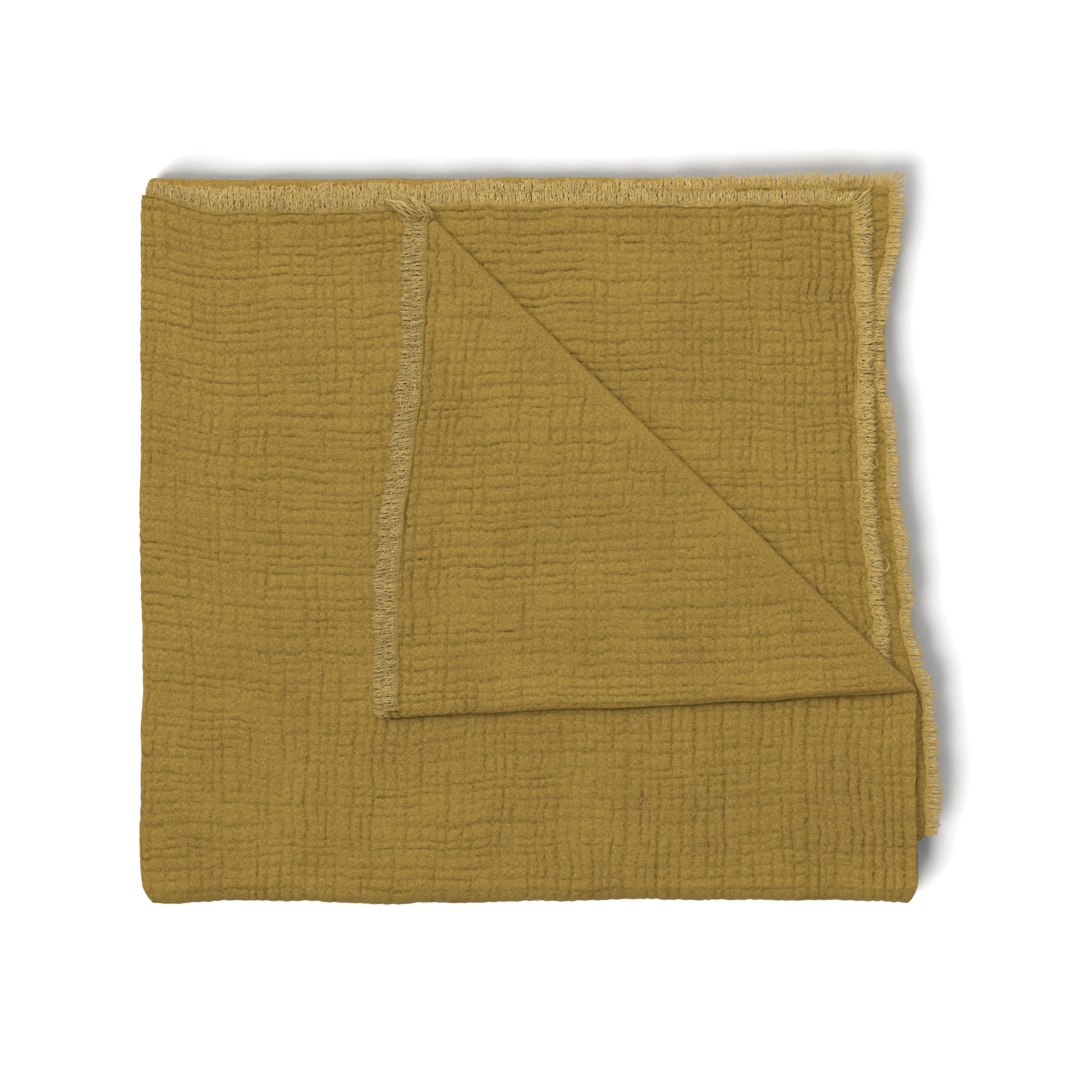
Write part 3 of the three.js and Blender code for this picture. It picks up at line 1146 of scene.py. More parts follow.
    def thread(self, rank: Rank, edge: RawEdge, turns: tuple, fraying: Fraying) -> tuple:
        """One long thread that has sprung out of a raw edge of the front third.

        Args:
            rank: The section.
            edge: Its end or its side.
            turns: Places that the thread passes: how far along the edge, and how far past it, in metres.
            fraying: How the edge frays, for the thread's thickness.

        Returns:
            Its centre line and its radius at each step.
        """
        p = self.fold.plan
        steps = 8 * len(turns)
        knots = np.linspace(0, 1, len(turns))
        spots = np.linspace(0, 1, steps)
        along, past = (np.interp(spots, knots, [turn[i] for turn in turns]) for i in (0, 1))
        for _ in range(6):
            for line in (along, past):
                line[1:-1] = (line[:-2] + 2 * line[1:-1] + line[2:]) / 4
        lift = (1.1 + 0.5 * np.sin(spots * math.pi)) * MM
        if edge is RawEdge.END:
            f = (along - p.left) / (p.right - p.left)
            points = self.fold.place(rank, f, np.full(steps, Run.FRONT.value[1] - 1e-6), lift, 0.0, past)
        else:
            g = Run.FRONT.value[0] + (along - p.bottom) / (p.top - p.bottom)
            points = self.fold.place(rank, np.ones(steps), g, lift, past, 0.0)
        return points[None], np.full((1, steps), fraying.thickness / 2 * 0.9)

    def make(self, name: str, groups: list, sides: int, painted_light: float) -> bpy.types.Object:
        """One piece of frayed edge.

        Args:
            name: The piece's name.
            groups: Groups of yarns, each as (centre lines, radii).
            sides: Sides of a yarn's tube.
            painted_light: Painted light: how much of the yarns' darker tones is left out, so that they come
                out paler, as if more brightly lit, from 0 to 1.

        Returns:
            The new object.
        """
        points, corners, sizes, shade = [], [], [], []
        first = 0
        for number, (centres, radius) in enumerate(groups):
            p, c, s = self.tubes(centres, radius, sides)
            points.append(p)
            corners.append(c + first)
            sizes.append(s)
            # Painted light: the random darker tones are capped, so that a whole piece's yarns can come out
            # paler, as if more brightly lit.
            tone = np.random.default_rng(number + len(centres)).uniform(0, 1 - painted_light, len(centres))
            along = np.tile(np.repeat(np.linspace(0, 1, centres.shape[1]), sides), len(centres))
            shade.append(np.stack([np.repeat(tone, centres.shape[1] * sides), along], axis=1))
            first += len(p)
        mesh = bpy.data.meshes.new(name)
        corners = np.concatenate(corners)
        build_mesh(mesh, np.concatenate(points), corners, np.concatenate(sizes))
        uv = mesh.uv_layers.new(name="yarn")
        uv.uv.foreach_set("vector", np.concatenate(shade)[corners].astype(np.float32).ravel())
        mesh.shade_smooth()
        return new_object(name, mesh, self.material)


# --- Finishes -------------------------------------------------------------------------------------------


def linear(code: str) -> tuple:
    """An sRGB hex colour as linear RGBA."""
    channels = [int(code[i:i + 2], 16) / 255 for i in (1, 3, 5)]
    return (*[c / 12.92 if c <= 0.04045 else ((c + 0.055) / 1.055) ** 2.4 for c in channels], 1.0)


def add_node(tree: bpy.types.NodeTree, kind: str, settings: dict | None = None,
             values: dict | None = None, links: dict | None = None) -> bpy.types.Node:
    """Adds a shader node.

    Args:
        tree: The material's node tree.
        kind: Node type, such as ShaderNodeMath.
        settings: Properties to set.
        values: Input values by name or number.
        links: Output sockets to plug into inputs, by name or number.

    Returns:
        The new node.
    """
    node = tree.nodes.new(kind)
    for key, value in (settings or {}).items():
        setattr(node, key, value)
    for key, value in (values or {}).items():
        node.inputs[key].default_value = value
    for key, socket in (links or {}).items():
        tree.links.new(socket, node.inputs[key])
    return node


def new_material(name: str) -> tuple:
    """An empty node material, with its tree and its surface shader.

    Args:
        name: The material's name.

    Returns:
        The material, its tree and its shader.
    """
    material = bpy.data.materials.new(name)
    material.use_nodes = True
    tree = material.node_tree
    tree.nodes.clear()
    shader = add_node(tree, "ShaderNodeBsdfPrincipled")
    add_node(tree, "ShaderNodeOutputMaterial", links={"Surface": shader.outputs[0]})
    return material, tree, shader


@dataclass(frozen=True)
class CottonDoubleGauze:
    """Cotton double gauze, given its dye as whole cloth, washed so that it crinkles.

    Matt, open weave: the eye sees puffed squares, darker furrows along the tacking threads, fine puckers, an
    uneven grain of crossing yarns, and slow changes of tone where the dye took differently. The furrows are
    sunk into the relief, and their shade is also painted into the colour.
    """

    colour: str = "#9c7d36"
    dull: str = "#947534"
    pale: str = "#b99d55"
    deep: str = "#6d511c"
    # Painted shade: the dark colour that the furrows are painted towards, for the shade that falls in them.
    furrow: str = "#5a4210"
    roughness: float = 0.93
    sheen: float = 0.06
    sheen_tint: str = "#d8c08a"
    # Yarns lie 0.45 mm apart on the real cloth. They are drawn 0.8 mm apart, which is as fine as shows.
    yarn_pitch: float = 0.8 * MM
    # The gauze puckers every 3 mm or so between its tacking threads.
    pucker_pitch: float = 3.2 * MM
    furrow_half_width: float = 0.22

    def streaks(self, tree: bpy.types.NodeTree, cloth: bpy.types.NodeSocket, pitch: float,
                stretch: float, detail: float) -> bpy.types.NodeSocket:
        """Noise drawn out along warp and along weft, added together.

        Args:
            tree: The material's node tree.
            cloth: Place on the cloth in metres.
            pitch: Spacing of the streaks.
            stretch: How long a streak is for its width.
            detail: Finer noise within it.

        Returns:
            The sum's socket, about 1 on average.
        """
        found = []
        for scale in ((1.0, 1 / stretch, 1.0), (1 / stretch, 1.0, 1.0)):
            mapping = add_node(tree, "ShaderNodeMapping", values={"Scale": scale}, links={"Vector": cloth})
            noise = add_node(tree, "ShaderNodeTexNoise", {"noise_dimensions": "2D"},
                             {"Scale": 1 / pitch, "Detail": detail, "Roughness": 0.6},
                             {"Vector": mapping.outputs[0]})
            found.append(noise.outputs[0])
        total = add_node(tree, "ShaderNodeMath", {"operation": "ADD"}, links={0: found[0], 1: found[1]})
        return total.outputs[0]

    def furrow_mask(self, tree: bpy.types.NodeTree, tack: bpy.types.NodeSocket, stray: bpy.types.NodeSocket,
                    pull: bpy.types.NodeSocket) -> bpy.types.NodeSocket:
        """1 on a tacking thread that pulls hard, falling to 0 beside it.

        Args:
            tree: The material's node tree.
            tack: Coordinate that is whole on the threads.
            stray: Noise that makes the furrow's line uneven.
            pull: How hard the thread pulls.

        Returns:
            The mask's socket.
        """
        moved = add_node(tree, "ShaderNodeMath", {"operation": "MULTIPLY_ADD"},
                         {1: 0.24}, {0: stray, 2: tack})
        shifted = add_node(tree, "ShaderNodeMath", {"operation": "ADD"}, {1: 0.38}, {0: moved.outputs[0]})
        part = add_node(tree, "ShaderNodeMath", {"operation": "FRACT"}, links={0: shifted.outputs[0]})
        centred = add_node(tree, "ShaderNodeMath", {"operation": "SUBTRACT"}, {1: 0.5}, {0: part.outputs[0]})
        distance = add_node(tree, "ShaderNodeMath", {"operation": "ABSOLUTE"}, links={0: centred.outputs[0]})
        near = add_node(tree, "ShaderNodeMapRange", {"interpolation_type": "SMOOTHSTEP"},
                        {"From Min": 0.0, "From Max": self.furrow_half_width, "To Min": 1.0, "To Max": 0.0},
                        {"Value": distance.outputs[0]})
        return add_node(tree, "ShaderNodeMath", {"operation": "MULTIPLY"},
                        links={0: near.outputs[0], 1: pull}).outputs[0]

    def build(self) -> bpy.types.Material:
        """The finished material.

        Returns:
            The material.
        """
        material, tree, shader = new_material("cotton_double_gauze_washed")
        cloth = add_node(tree, "ShaderNodeUVMap", {"uv_map": "cloth"}).outputs[0]
        tacks = add_node(tree, "ShaderNodeSeparateXYZ",
                         links={0: add_node(tree, "ShaderNodeUVMap", {"uv_map": "tacks"}).outputs[0]})
        strength = add_node(tree, "ShaderNodeAttribute", {"attribute_name": "pull"})
        pull = add_node(tree, "ShaderNodeSeparateXYZ", links={0: strength.outputs["Vector"]})
        unevenness = add_node(tree, "ShaderNodeTexNoise", {"noise_dimensions": "2D"},
                              {"Scale": 1 / (2.6 * MM), "Detail": 1.0}, {"Vector": cloth}).outputs[0]
        along = self.furrow_mask(tree, tacks.outputs[0], unevenness, pull.outputs[0])
        cross = self.furrow_mask(tree, tacks.outputs[1], unevenness, pull.outputs[1])
        lines = add_node(tree, "ShaderNodeMath", {"operation": "MAXIMUM"}, links={0: along, 1: cross})
        broken = add_node(tree, "ShaderNodeMapRange",
                          values={"From Min": 0.3, "From Max": 0.68, "To Min": 0.25},
                          links={"Value": unevenness})
        furrow = add_node(tree, "ShaderNodeMath", {"operation": "MULTIPLY"},
                          links={0: lines.outputs[0], 1: broken.outputs[0]}).outputs[0]
        grain = self.streaks(tree, cloth, self.yarn_pitch, 3.0, 2.0)
        pucker = self.streaks(tree, cloth, self.pucker_pitch, 2.2, 1.0)
        patches = add_node(tree, "ShaderNodeTexNoise", {"noise_dimensions": "2D"},
                           {"Scale": 1 / 0.06, "Detail": 3.0, "Roughness": 0.55}, {"Vector": cloth})
        blotch = add_node(tree, "ShaderNodeMapRange", values={"From Min": 0.35, "From Max": 0.65},
                          links={"Value": patches.outputs[0]})
        base = add_node(tree, "ShaderNodeMix", {"data_type": "RGBA"},
                        {6: linear(self.dull), 7: linear(self.colour)}, {0: blotch.outputs[0]})
        speck = add_node(tree, "ShaderNodeMapRange",
                         values={"From Min": 0.92, "From Max": 1.3, "To Max": 0.5},
                         links={"Value": grain})
        woven = add_node(tree, "ShaderNodeMix", {"data_type": "RGBA"}, {7: linear(self.pale)},
                         {0: speck.outputs[0], 6: base.outputs[2]})
        hole = add_node(tree, "ShaderNodeMapRange",
                        values={"From Min": 0.98, "From Max": 0.66, "To Min": 0.0, "To Max": 0.5},
                        links={"Value": grain})
        open_weave = add_node(tree, "ShaderNodeMix", {"data_type": "RGBA"}, {7: linear(self.deep)},
                              {0: hole.outputs[0], 6: woven.outputs[2]})
        # Painted shade: along the furrows the colour is darkened towards the furrow colour, for the shade
        # that falls between the puffed squares.
        depth = add_node(tree, "ShaderNodeMath", {"operation": "MULTIPLY", "use_clamp": True},
                         {1: 0.54}, {0: furrow})
        dyed_and_furrow_shaded = add_node(tree, "ShaderNodeMix", {"data_type": "RGBA"}, {7: linear(self.furrow)},
                        {0: depth.outputs[0], 6: open_weave.outputs[2]})
        sunk = add_node(tree, "ShaderNodeMath", {"operation": "MULTIPLY"}, {1: -0.60 * MM}, {0: furrow})
        wrinkled = add_node(tree, "ShaderNodeMath", {"operation": "MULTIPLY_ADD"},
                            {1: 0.38 * MM}, {0: pucker, 2: sunk.outputs[0]})
        relief = add_node(tree, "ShaderNodeMath", {"operation": "MULTIPLY_ADD"},
                          {1: 0.15 * MM}, {0: grain, 2: wrinkled.outputs[0]})
        bump = add_node(tree, "ShaderNodeBump", values={"Strength": 0.9, "Distance": 1.0},
                        links={"Height": relief.outputs[0]})
        tree.links.new(dyed_and_furrow_shaded.outputs[2], shader.inputs["Base Color"])
        tree.links.new(bump.outputs[0], shader.inputs["Normal"])
        shader.inputs["Roughness"].default_value = self.roughness
        shader.inputs["Sheen Weight"].default_value = self.sheen
        shader.inputs["Sheen Roughness"].default_value = 0.5
        shader.inputs["Sheen Tint"].default_value = linear(self.sheen_tint)
        shader.inputs["Specular IOR Level"].default_value = 0.15
        return material


@dataclass(frozen=True)
class FrayedCottonYarn:
    """Loose cotton yarn, drawn out of the weave: paler than the cloth, soft and matt, darker at its root."""

    root: str = "#a98940"
    tip: str = "#e0c57f"
    deep: str = "#8e7134"
    roughness: float = 0.95
    sheen: float = 0.08
    sheen_tint: str = "#e0c88c"

    def build(self) -> bpy.types.Material:
        """The finished material.

        Returns:
            The material.
        """
        material, tree, shader = new_material("cotton_yarn_frayed")
        yarn = add_node(tree, "ShaderNodeSeparateXYZ",
                        links={0: add_node(tree, "ShaderNodeUVMap", {"uv_map": "yarn"}).outputs[0]})
        fade = add_node(tree, "ShaderNodeMapRange", values={"From Min": 0.0, "From Max": 0.62},
                        links={"Value": yarn.outputs[1]})
        length = add_node(tree, "ShaderNodeMix", {"data_type": "RGBA"},
                          {6: linear(self.root), 7: linear(self.tip)}, {0: fade.outputs[0]})
        tone = add_node(tree, "ShaderNodeMath", {"operation": "MULTIPLY"}, {1: 0.55}, {0: yarn.outputs[0]})
        mixed = add_node(tree, "ShaderNodeMix", {"data_type": "RGBA"}, {7: linear(self.deep)},
                         {0: tone.outputs[0], 6: length.outputs[2]})
        tree.links.new(mixed.outputs[2], shader.inputs["Base Color"])
        shader.inputs["Roughness"].default_value = self.roughness
        shader.inputs["Sheen Weight"].default_value = self.sheen
        shader.inputs["Sheen Tint"].default_value = linear(self.sheen_tint)
        shader.inputs["Specular IOR Level"].default_value = 0.15
        return material


@dataclass(frozen=True)
class PaintedFloor:
    """A matt painted board, pale grey under a strong light: plain, so that only the throw's soft shadow
    shows.
    """

    colour: str = "#c9c9c9"

    def build(self) -> bpy.types.Material:
        """The finished material.

        Returns:
            The material.
        """
        material, _, shader = new_material("pale_board_painted")
        shader.inputs["Base Color"].default_value = linear(self.colour)
        shader.inputs["Roughness"].default_value = 0.9
        return material


# --- The throw's parts ----------------------------------------------------------------------------------


@dataclass
class ThrowPart:
    """What every part of the throw is made with."""

    fold: StackFold
    crinkle: Crinkle
    cloth: ClothMaker
    yarn: YarnMaker
    fine: float = 1.5 * MM
    middling: float = 3.0 * MM
    coarse: float = 6.0 * MM

    def across_values(self, rank: Rank, fine: float, coarse: float, zones: tuple = ()) -> Array:
        """Across coordinates of a section's grid, with its crease arcs.

        Args:
            rank: The section.
            fine: Step inside the zones.
            coarse: Step elsewhere.
            zones: (low, high) stretches of x that need detail.

        Returns:
            The coordinates, from left to right.
        """
        p = self.fold.plan
        width = p.right - p.left
        flat = (graded(p.left, p.right, fine, coarse, zones) - p.left) / width
        left_arc = np.linspace(-1, 0, 6)[:-1]
        right_arc = np.linspace(1, 2, 5)[1:] if rank.joined_right else np.array([])
        return np.concatenate([left_arc, flat, right_arc])

    def path_values(self, first: float, fine: float, coarse: float, zones: tuple = ()) -> Array:
        """Path coordinates up one panel that starts at the whole number first."""
        p = self.fold.plan
        return first + (graded(p.bottom, p.top, fine, coarse, zones) - p.bottom) / (p.top - p.bottom)

    def flat_places(self, rank: Rank, patch: Patch) -> tuple:
        """x and y of a patch's vertices before the corner is turned.

        Args:
            rank: The section.
            patch: A flat mesh of the section.

        Returns:
            x and y.
        """
        zero = np.zeros_like(patch.f)
        x, h = self.fold.across(rank, patch.f, patch.g, zero)
        y, _ = self.fold.along(rank, patch.g, x, h, h, zero)
        return x, y

    def span(self, rank: Rank, f: Array, g: Array) -> float:
        """Length of cloth along a line of places on it, round any bend."""
        points = self.fold.place(rank, f, g, np.zeros_like(f))
        return float(np.linalg.norm(np.diff(points, axis=0), axis=1).sum())

    def declare(self, piece: bpy.types.Object, patch: Patch, rank: Rank, fringes: list,
                rests_on: list) -> None:
        """Measures how big a piece is flat, along and across; the sizes are not kept.

        Args:
            piece: The piece's object.
            patch: Its flat mesh.
            rank: The section.
            fringes: The frayed edges that belong to it. Not used.
            rests_on: What it lies on. Not used.
        """
        points = self.fold.place(rank, patch.f, patch.g, np.zeros_like(patch.f))
        starts = np.concatenate([[0], np.cumsum(patch.sizes)[:-1]])
        for k in range(1, int(patch.sizes.max()) - 1):
            has = patch.sizes > k + 1
            a, b, c = (points[patch.corners[starts[has] + i]] for i in (0, k, k + 1))
        if "diagonal" in piece.name:
            x, y = self.flat_places(rank, patch)
            a, b = self.fold.diagonal.along
            cut = (np.ptp(a * x + b * y), np.ptp(b * x - a * y))
        else:
            f, g = (np.linspace(values.min(), values.max(), 600) for values in (patch.f, patch.g))
            cut = (self.span(rank, f, np.full_like(g, g.mean())), self.span(rank, np.full_like(f, 0.25), g))

    def fringe(self, name: str, node: str, groups: list, sides: int, painted_light: float = 0.0) -> bpy.types.Object:
        """A frayed edge that stands for its frame node.

        Args:
            name: The piece's name.
            node: The frame node.
            groups: Groups of yarns, each as (centre lines, radii).
            sides: Sides of a yarn's tube.
            painted_light: Painted light: how much of the yarns' darker tones is left out, so that they come
                out paler, as if more brightly lit, from 0 to 1.

        Returns:
            The new object.
        """
        piece = self.yarn.make(name, groups, sides, painted_light)
        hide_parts(node)
        LOG.info("made %s with %d faces", name, len(piece.data.polygons))
        return piece


@dataclass
class LowerThirds(ThrowPart):
    """The back and tucked thirds: four lengths of cloth nested round the top crease, on the root body."""

    hidden_fraying: Fraying = field(default_factory=lambda: Fraying(spacing=1.1 * MM, rows=1, steps=5))

    def build(self) -> None:
        """Makes the four nested lengths and their frayed edges."""
        for rank in Rank:
            step = self.middling if rank is Rank.OUTER else self.coarse
            f = self.across_values(rank, step, step)
            bend = np.linspace(1, 2, 17)[1:-1]
            tucked = self.path_values(0, step, step)
            back = self.path_values(2, step, step)
            patch = Patch.grid(f, np.concatenate([tucked, bend, back]))
            piece = self.cloth.make(f"lower_cloth_{rank.word}", rank, patch)
            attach(piece, "root")
            nodes = [f"back_panel_{rank.word}", f"tucked_panel_{rank.word}", f"top_crease_{rank.word}"]
            if rank is Rank.OUTER:
                nodes += [f"{third}_{part}" for third in ("back", "tucked")
                          for part in ("left_crease_outer", "right_crease")]
            if rank is Rank.SECOND:
                nodes += ["back_left_crease_inner", "tucked_left_crease_inner"]
            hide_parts(*nodes)
            fringes = self.fringes(rank)
            below = "lower_cloth_outer" if rank is Rank.SECOND else "the surface under the throw"
            self.declare(piece, patch, rank, fringes, [below])
            LOG.info("made %s with %d faces", piece.name, len(piece.data.polygons))

    def fringes(self, rank: Rank) -> list:
        """The frayed end of one section's tucked third, and its frayed sides where it has them.

        Args:
            rank: The section.

        Returns:
            The pieces made.
        """
        fray, word = self.hidden_fraying, rank.word
        ends = self.yarn.ends(rank, RawEdge.END, 0.0, 1.0, Run.LOWER, fray, 100 + rank.value)
        made = [self.fringe(f"yarns_tucked_end_{word}", f"tucked_end_fringe_{word}", [ends[:2]], fray.sides)]
        if not rank.joined_right:
            for third, low, top in (("tucked", 0.0, 1.0), ("back", 2.0, 3.0)):
                seed = 120 + rank.value + int(low)
                sides = self.yarn.ends(rank, RawEdge.SIDE, low, top, Run.LOWER, fray, seed)
                made.append(self.fringe(f"yarns_{third}_side_{word}", f"{third}_side_fringe_{word}",
                                        [sides[:2]], fray.sides))
        for piece in made:
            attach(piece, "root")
        return made


@dataclass
class BottomCreases(ThrowPart):
    """The bends that join the back third to the front."""

    margin: float = 1.2 * MM

    def build(self) -> None:
        """Makes the four nested bends."""
        p = self.fold.plan
        for rank in Rank:
            step = self.fine if rank is Rank.OUTER else self.middling
            zones = ((0.2, 0.3),) if rank is Rank.INNER else ()
            f = self.across_values(rank, self.fine if zones else step, step, zones)
            patch = Patch.grid(f, np.linspace(3, 4, 25))
            piece = self.cloth.make(f"bottom_bend_{rank.word}", rank, patch)
            inner = min(0.0, p.offset(rank))
            start = (0.0, p.bottom, p.height("back") - inner + self.margin)
            end = (0.0, p.bottom, p.height("front") + inner - self.margin)
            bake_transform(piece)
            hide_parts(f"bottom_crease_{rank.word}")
            self.declare(piece, patch, rank, [], [f"lower_cloth_{rank.word}"])
            LOG.info("made %s with %d faces", piece.name, len(piece.data.polygons))


@dataclass
class FrontThird(ThrowPart):
    """The front third and the turned corner: four layers, of which the two outer ones are cut by the
    diagonal.
    """

    bend_steps: int = 16
    blend_gap: float = 0.12 * MM
    # Painted light: the frayed edges of the two whole layers, along the stack's top and right, are drawn
    # paler, as if more brightly lit.
    whole_layer_painted_light: float = 0.75
    beside_bend: float = 1.2 * MM
    # Each tuft: its root and its end, as offsets from the crease's top end, then its bow, half its width and
    # its yarns.
    tufts: tuple = (
        ((-7 * MM, 0.5 * MM, -0.6 * MM), (-30 * MM, 15 * MM, -0.2 * MM), -1.5 * MM, 4.4 * MM, 46),
        ((0.5 * MM, 0.5 * MM, -0.6 * MM), (-13 * MM, 15.5 * MM, 0.2 * MM), -1.2 * MM, 3.1 * MM, 32),
    )
    strands: int = 6
    fraying: Fraying = field(default_factory=Fraying)
    # The third section's side has frayed furthest, into longer and curlier ends.
    long_fraying: Fraying = field(default_factory=lambda: Fraying(
        length=13.2 * MM, fluff=0.75 * MM, curl=1.6 * MM, crimp=0.6 * MM, uneven=0.8 * MM))
    # Each long thread: places along the edge, and how far past it.
    top_threads: tuple = (
        ((-29 * MM, -1 * MM), (-30.5 * MM, 5 * MM), (-32.5 * MM, 12 * MM)),
        ((9 * MM, 3 * MM), (12 * MM, 9.5 * MM), (19 * MM, 11.5 * MM), (25 * MM, 11 * MM),
         (25.5 * MM, 8 * MM)),
    )
    side_threads: tuple = (
        ((-20 * MM, 7 * MM), (-24 * MM, 13 * MM), (-30 * MM, 15 * MM), (-35 * MM, 12 * MM),
         (-33 * MM, 7 * MM)),
        ((52 * MM, 6 * MM), (48 * MM, 12 * MM), (42 * MM, 12.5 * MM), (40 * MM, 8 * MM)),
        ((118 * MM, 8 * MM), (113 * MM, 14 * MM), (106 * MM, 13 * MM), (107 * MM, 7 * MM)),
    )

    def build(self) -> None:
        """Makes the four front layers, the diagonal bends, the turned corner and all their frayed edges."""
        for rank in (Rank.INNER, Rank.THIRD):
            self.whole_layer(rank)
        for rank in (Rank.SECOND, Rank.OUTER):
            self.turned_layer(rank)

    def end_fringe(self, rank: Rank) -> tuple:
        """Loose ends and stray threads of a raw top edge, with each yarn's place on it.

        Args:
            rank: The section.

        Returns:
            The ends and the stray threads.
        """
        seed = 200 + rank.value
        ends = self.yarn.ends(rank, RawEdge.END, 0.0, 1.0, Run.FRONT, self.fraying, seed)
        strays = self.yarn.strays(rank, RawEdge.END, 0.0, 1.0, Run.FRONT, self.fraying, seed + 20)
        return ends, strays

    def whole_layer(self, rank: Rank) -> None:
        """A layer that the diagonal doesn't cut: its top and right edges are raw.

        Args:
            rank: The section.
        """
        seen_x = ((-0.075, 0.3),) if rank is Rank.THIRD else ((0.19, 0.3),)
        seen_y = ((-0.115, 0.3),) if rank is Rank.THIRD else ((-0.3, 0.3),)
        f = self.across_values(rank, self.fine, self.coarse, seen_x)
        coarse = self.coarse if rank is Rank.THIRD else 2 * self.fine
        fine = self.fine if rank is Rank.THIRD else 2 * self.fine
        patch = Patch.grid(f, self.path_values(4, fine, coarse, seen_y))
        piece = self.cloth.make(f"front_cloth_{rank.word}", rank, patch)
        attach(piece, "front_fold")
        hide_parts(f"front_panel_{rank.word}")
        threads = {RawEdge.END: [], RawEdge.SIDE: []}
        if rank is Rank.THIRD:
            for edge, found in ((RawEdge.END, self.top_threads), (RawEdge.SIDE, self.side_threads)):
                threads[edge] = [self.yarn.thread(rank, edge, turns, self.fraying) for turns in found]
        ends, strays = self.end_fringe(rank)
        # Painted light: both frayed edges of a whole layer are drawn paler, as if more brightly lit.
        top = self.fringe(f"yarns_front_top_{rank.word}", f"front_top_fringe_{rank.word}",
                          [ends[:2], strays, *threads[RawEdge.END]], self.fraying.sides, self.whole_layer_painted_light)
        fraying = self.long_fraying if rank is Rank.THIRD else self.fraying
        sides = self.yarn.ends(rank, RawEdge.SIDE, 4.0, 5.0, Run.FRONT, fraying, 240 + rank.value)
        strays = self.yarn.strays(rank, RawEdge.SIDE, 4.0, 5.0, Run.FRONT, fraying, 260 + rank.value)
        side = self.fringe(f"yarns_front_side_{rank.word}", f"front_side_fringe_{rank.word}",
                           [sides[:2], strays, *threads[RawEdge.SIDE]], fraying.sides, self.whole_layer_painted_light)
        for fringe in (top, side):
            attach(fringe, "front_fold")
        below = "lower_cloth_outer" if rank is Rank.INNER else "front_cloth_inner"
        self.declare(piece, patch, rank, [top, side], [below])
        LOG.info("made %s with %d faces", piece.name, len(piece.data.polygons))

    def turned_layer(self, rank: Rank) -> None:
        """A layer that runs up to the diagonal, round it and back over the front as the turned corner.

        Args:
            rank: The section.
        """
        fold, diagonal = self.fold, self.fold.diagonal
        p = fold.plan
        seen = ((-0.3, 0.3),) if rank is Rank.OUTER else ((-0.09, 0.3),)
        up = ((-0.3, 0.3),) if rank is Rank.OUTER else ((-0.13, 0.3),)
        patch = Patch.grid(self.across_values(rank, self.fine, self.coarse, seen),
                           self.path_values(4, self.fine, self.coarse, up))
        bend = diagonal.height - (p.height("front") + p.offset(rank))
        lines = [math.pi * bend * k / self.bend_steps for k in range(self.bend_steps + 1)]
        lines = [lines[0] - self.beside_bend, *lines, lines[-1] + self.beside_bend]
        patch = patch.cut(*self.flat_places(rank, patch), lines, diagonal)
        past = self.face_past(rank, patch)
        parts = {
            "front": patch.part(past < lines[0]),
            "bend": patch.part((past >= lines[0]) & (past <= lines[-1])),
            "corner": patch.part(past > lines[-1]),
        }
        names = {"front": "front_cloth", "bend": "diagonal_bend", "corner": "corner_cloth"}
        pieces = {k: self.cloth.make(f"{names[k]}_{rank.word}", rank, parts[k]) for k in parts}
        fringes = self.split_fringe(rank)
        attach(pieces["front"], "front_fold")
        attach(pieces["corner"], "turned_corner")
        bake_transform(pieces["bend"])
        front_nodes = [f"front_panel_{rank.word}"]
        corner_nodes = [f"corner_panel_{rank.word}"]
        if rank is Rank.OUTER:
            front_nodes += ["front_left_crease_outer", "front_right_crease"]
            corner_nodes.append("corner_side_crease")
        else:
            front_nodes.append("front_left_crease_inner")
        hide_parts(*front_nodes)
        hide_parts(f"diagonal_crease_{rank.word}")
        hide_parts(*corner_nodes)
        below = {"front": "front_cloth_third", "bend": "front_cloth_third", "corner": "front_cloth_outer"}
        for key, piece in pieces.items():
            goes = [fringes[key]] if key in fringes else []
            self.declare(piece, parts[key], rank, goes, [below[key]])
            LOG.info("made %s with %d faces", piece.name, len(piece.data.polygons))

    def face_past(self, rank: Rank, patch: Patch) -> Array:
        """How far each face's centre lies past the diagonal bend's centre line.

        Args:
            rank: The section.
            patch: A flat mesh of the section.

        Returns:
            Distances in metres.
        """
        x, y = self.flat_places(rank, patch)
        past = self.fold.diagonal.past(x, y)[patch.corners]
        starts = np.concatenate([[0], np.cumsum(patch.sizes)[:-1]])
        return np.add.reduceat(past, starts) / patch.sizes

    def split_fringe(self, rank: Rank) -> dict:
        """The raw top edge's yarns, shared between the front layer and the turned corner.

        Args:
            rank: The section.

        Returns:
            The two pieces, by the part of the layer that they belong to.
        """
        ends, strays = self.end_fringe(rank)
        made = {}
        for key, body, name in (("front", "front_fold", "front_top"), ("corner", "turned_corner", "corner")):
            groups = []
            for centres, radius in (ends[:2], strays):
                if centres is ends[0]:
                    place = ends[2]
                    turned = self.root_turned(rank, place)
                else:
                    turned = self.line_turned(centres)
                chosen = turned if key == "corner" else ~turned
                groups.append((centres[chosen], radius[chosen]))
            if key == "corner" and rank is Rank.OUTER:
                groups.append(self.corner_tufts())
            node = f"front_top_fringe_{rank.word}" if key == "front" else f"corner_fringe_{rank.word}"
            made[key] = self.fringe(f"yarns_{name}_{rank.word}", node, groups, self.fraying.sides)
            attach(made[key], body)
        return made

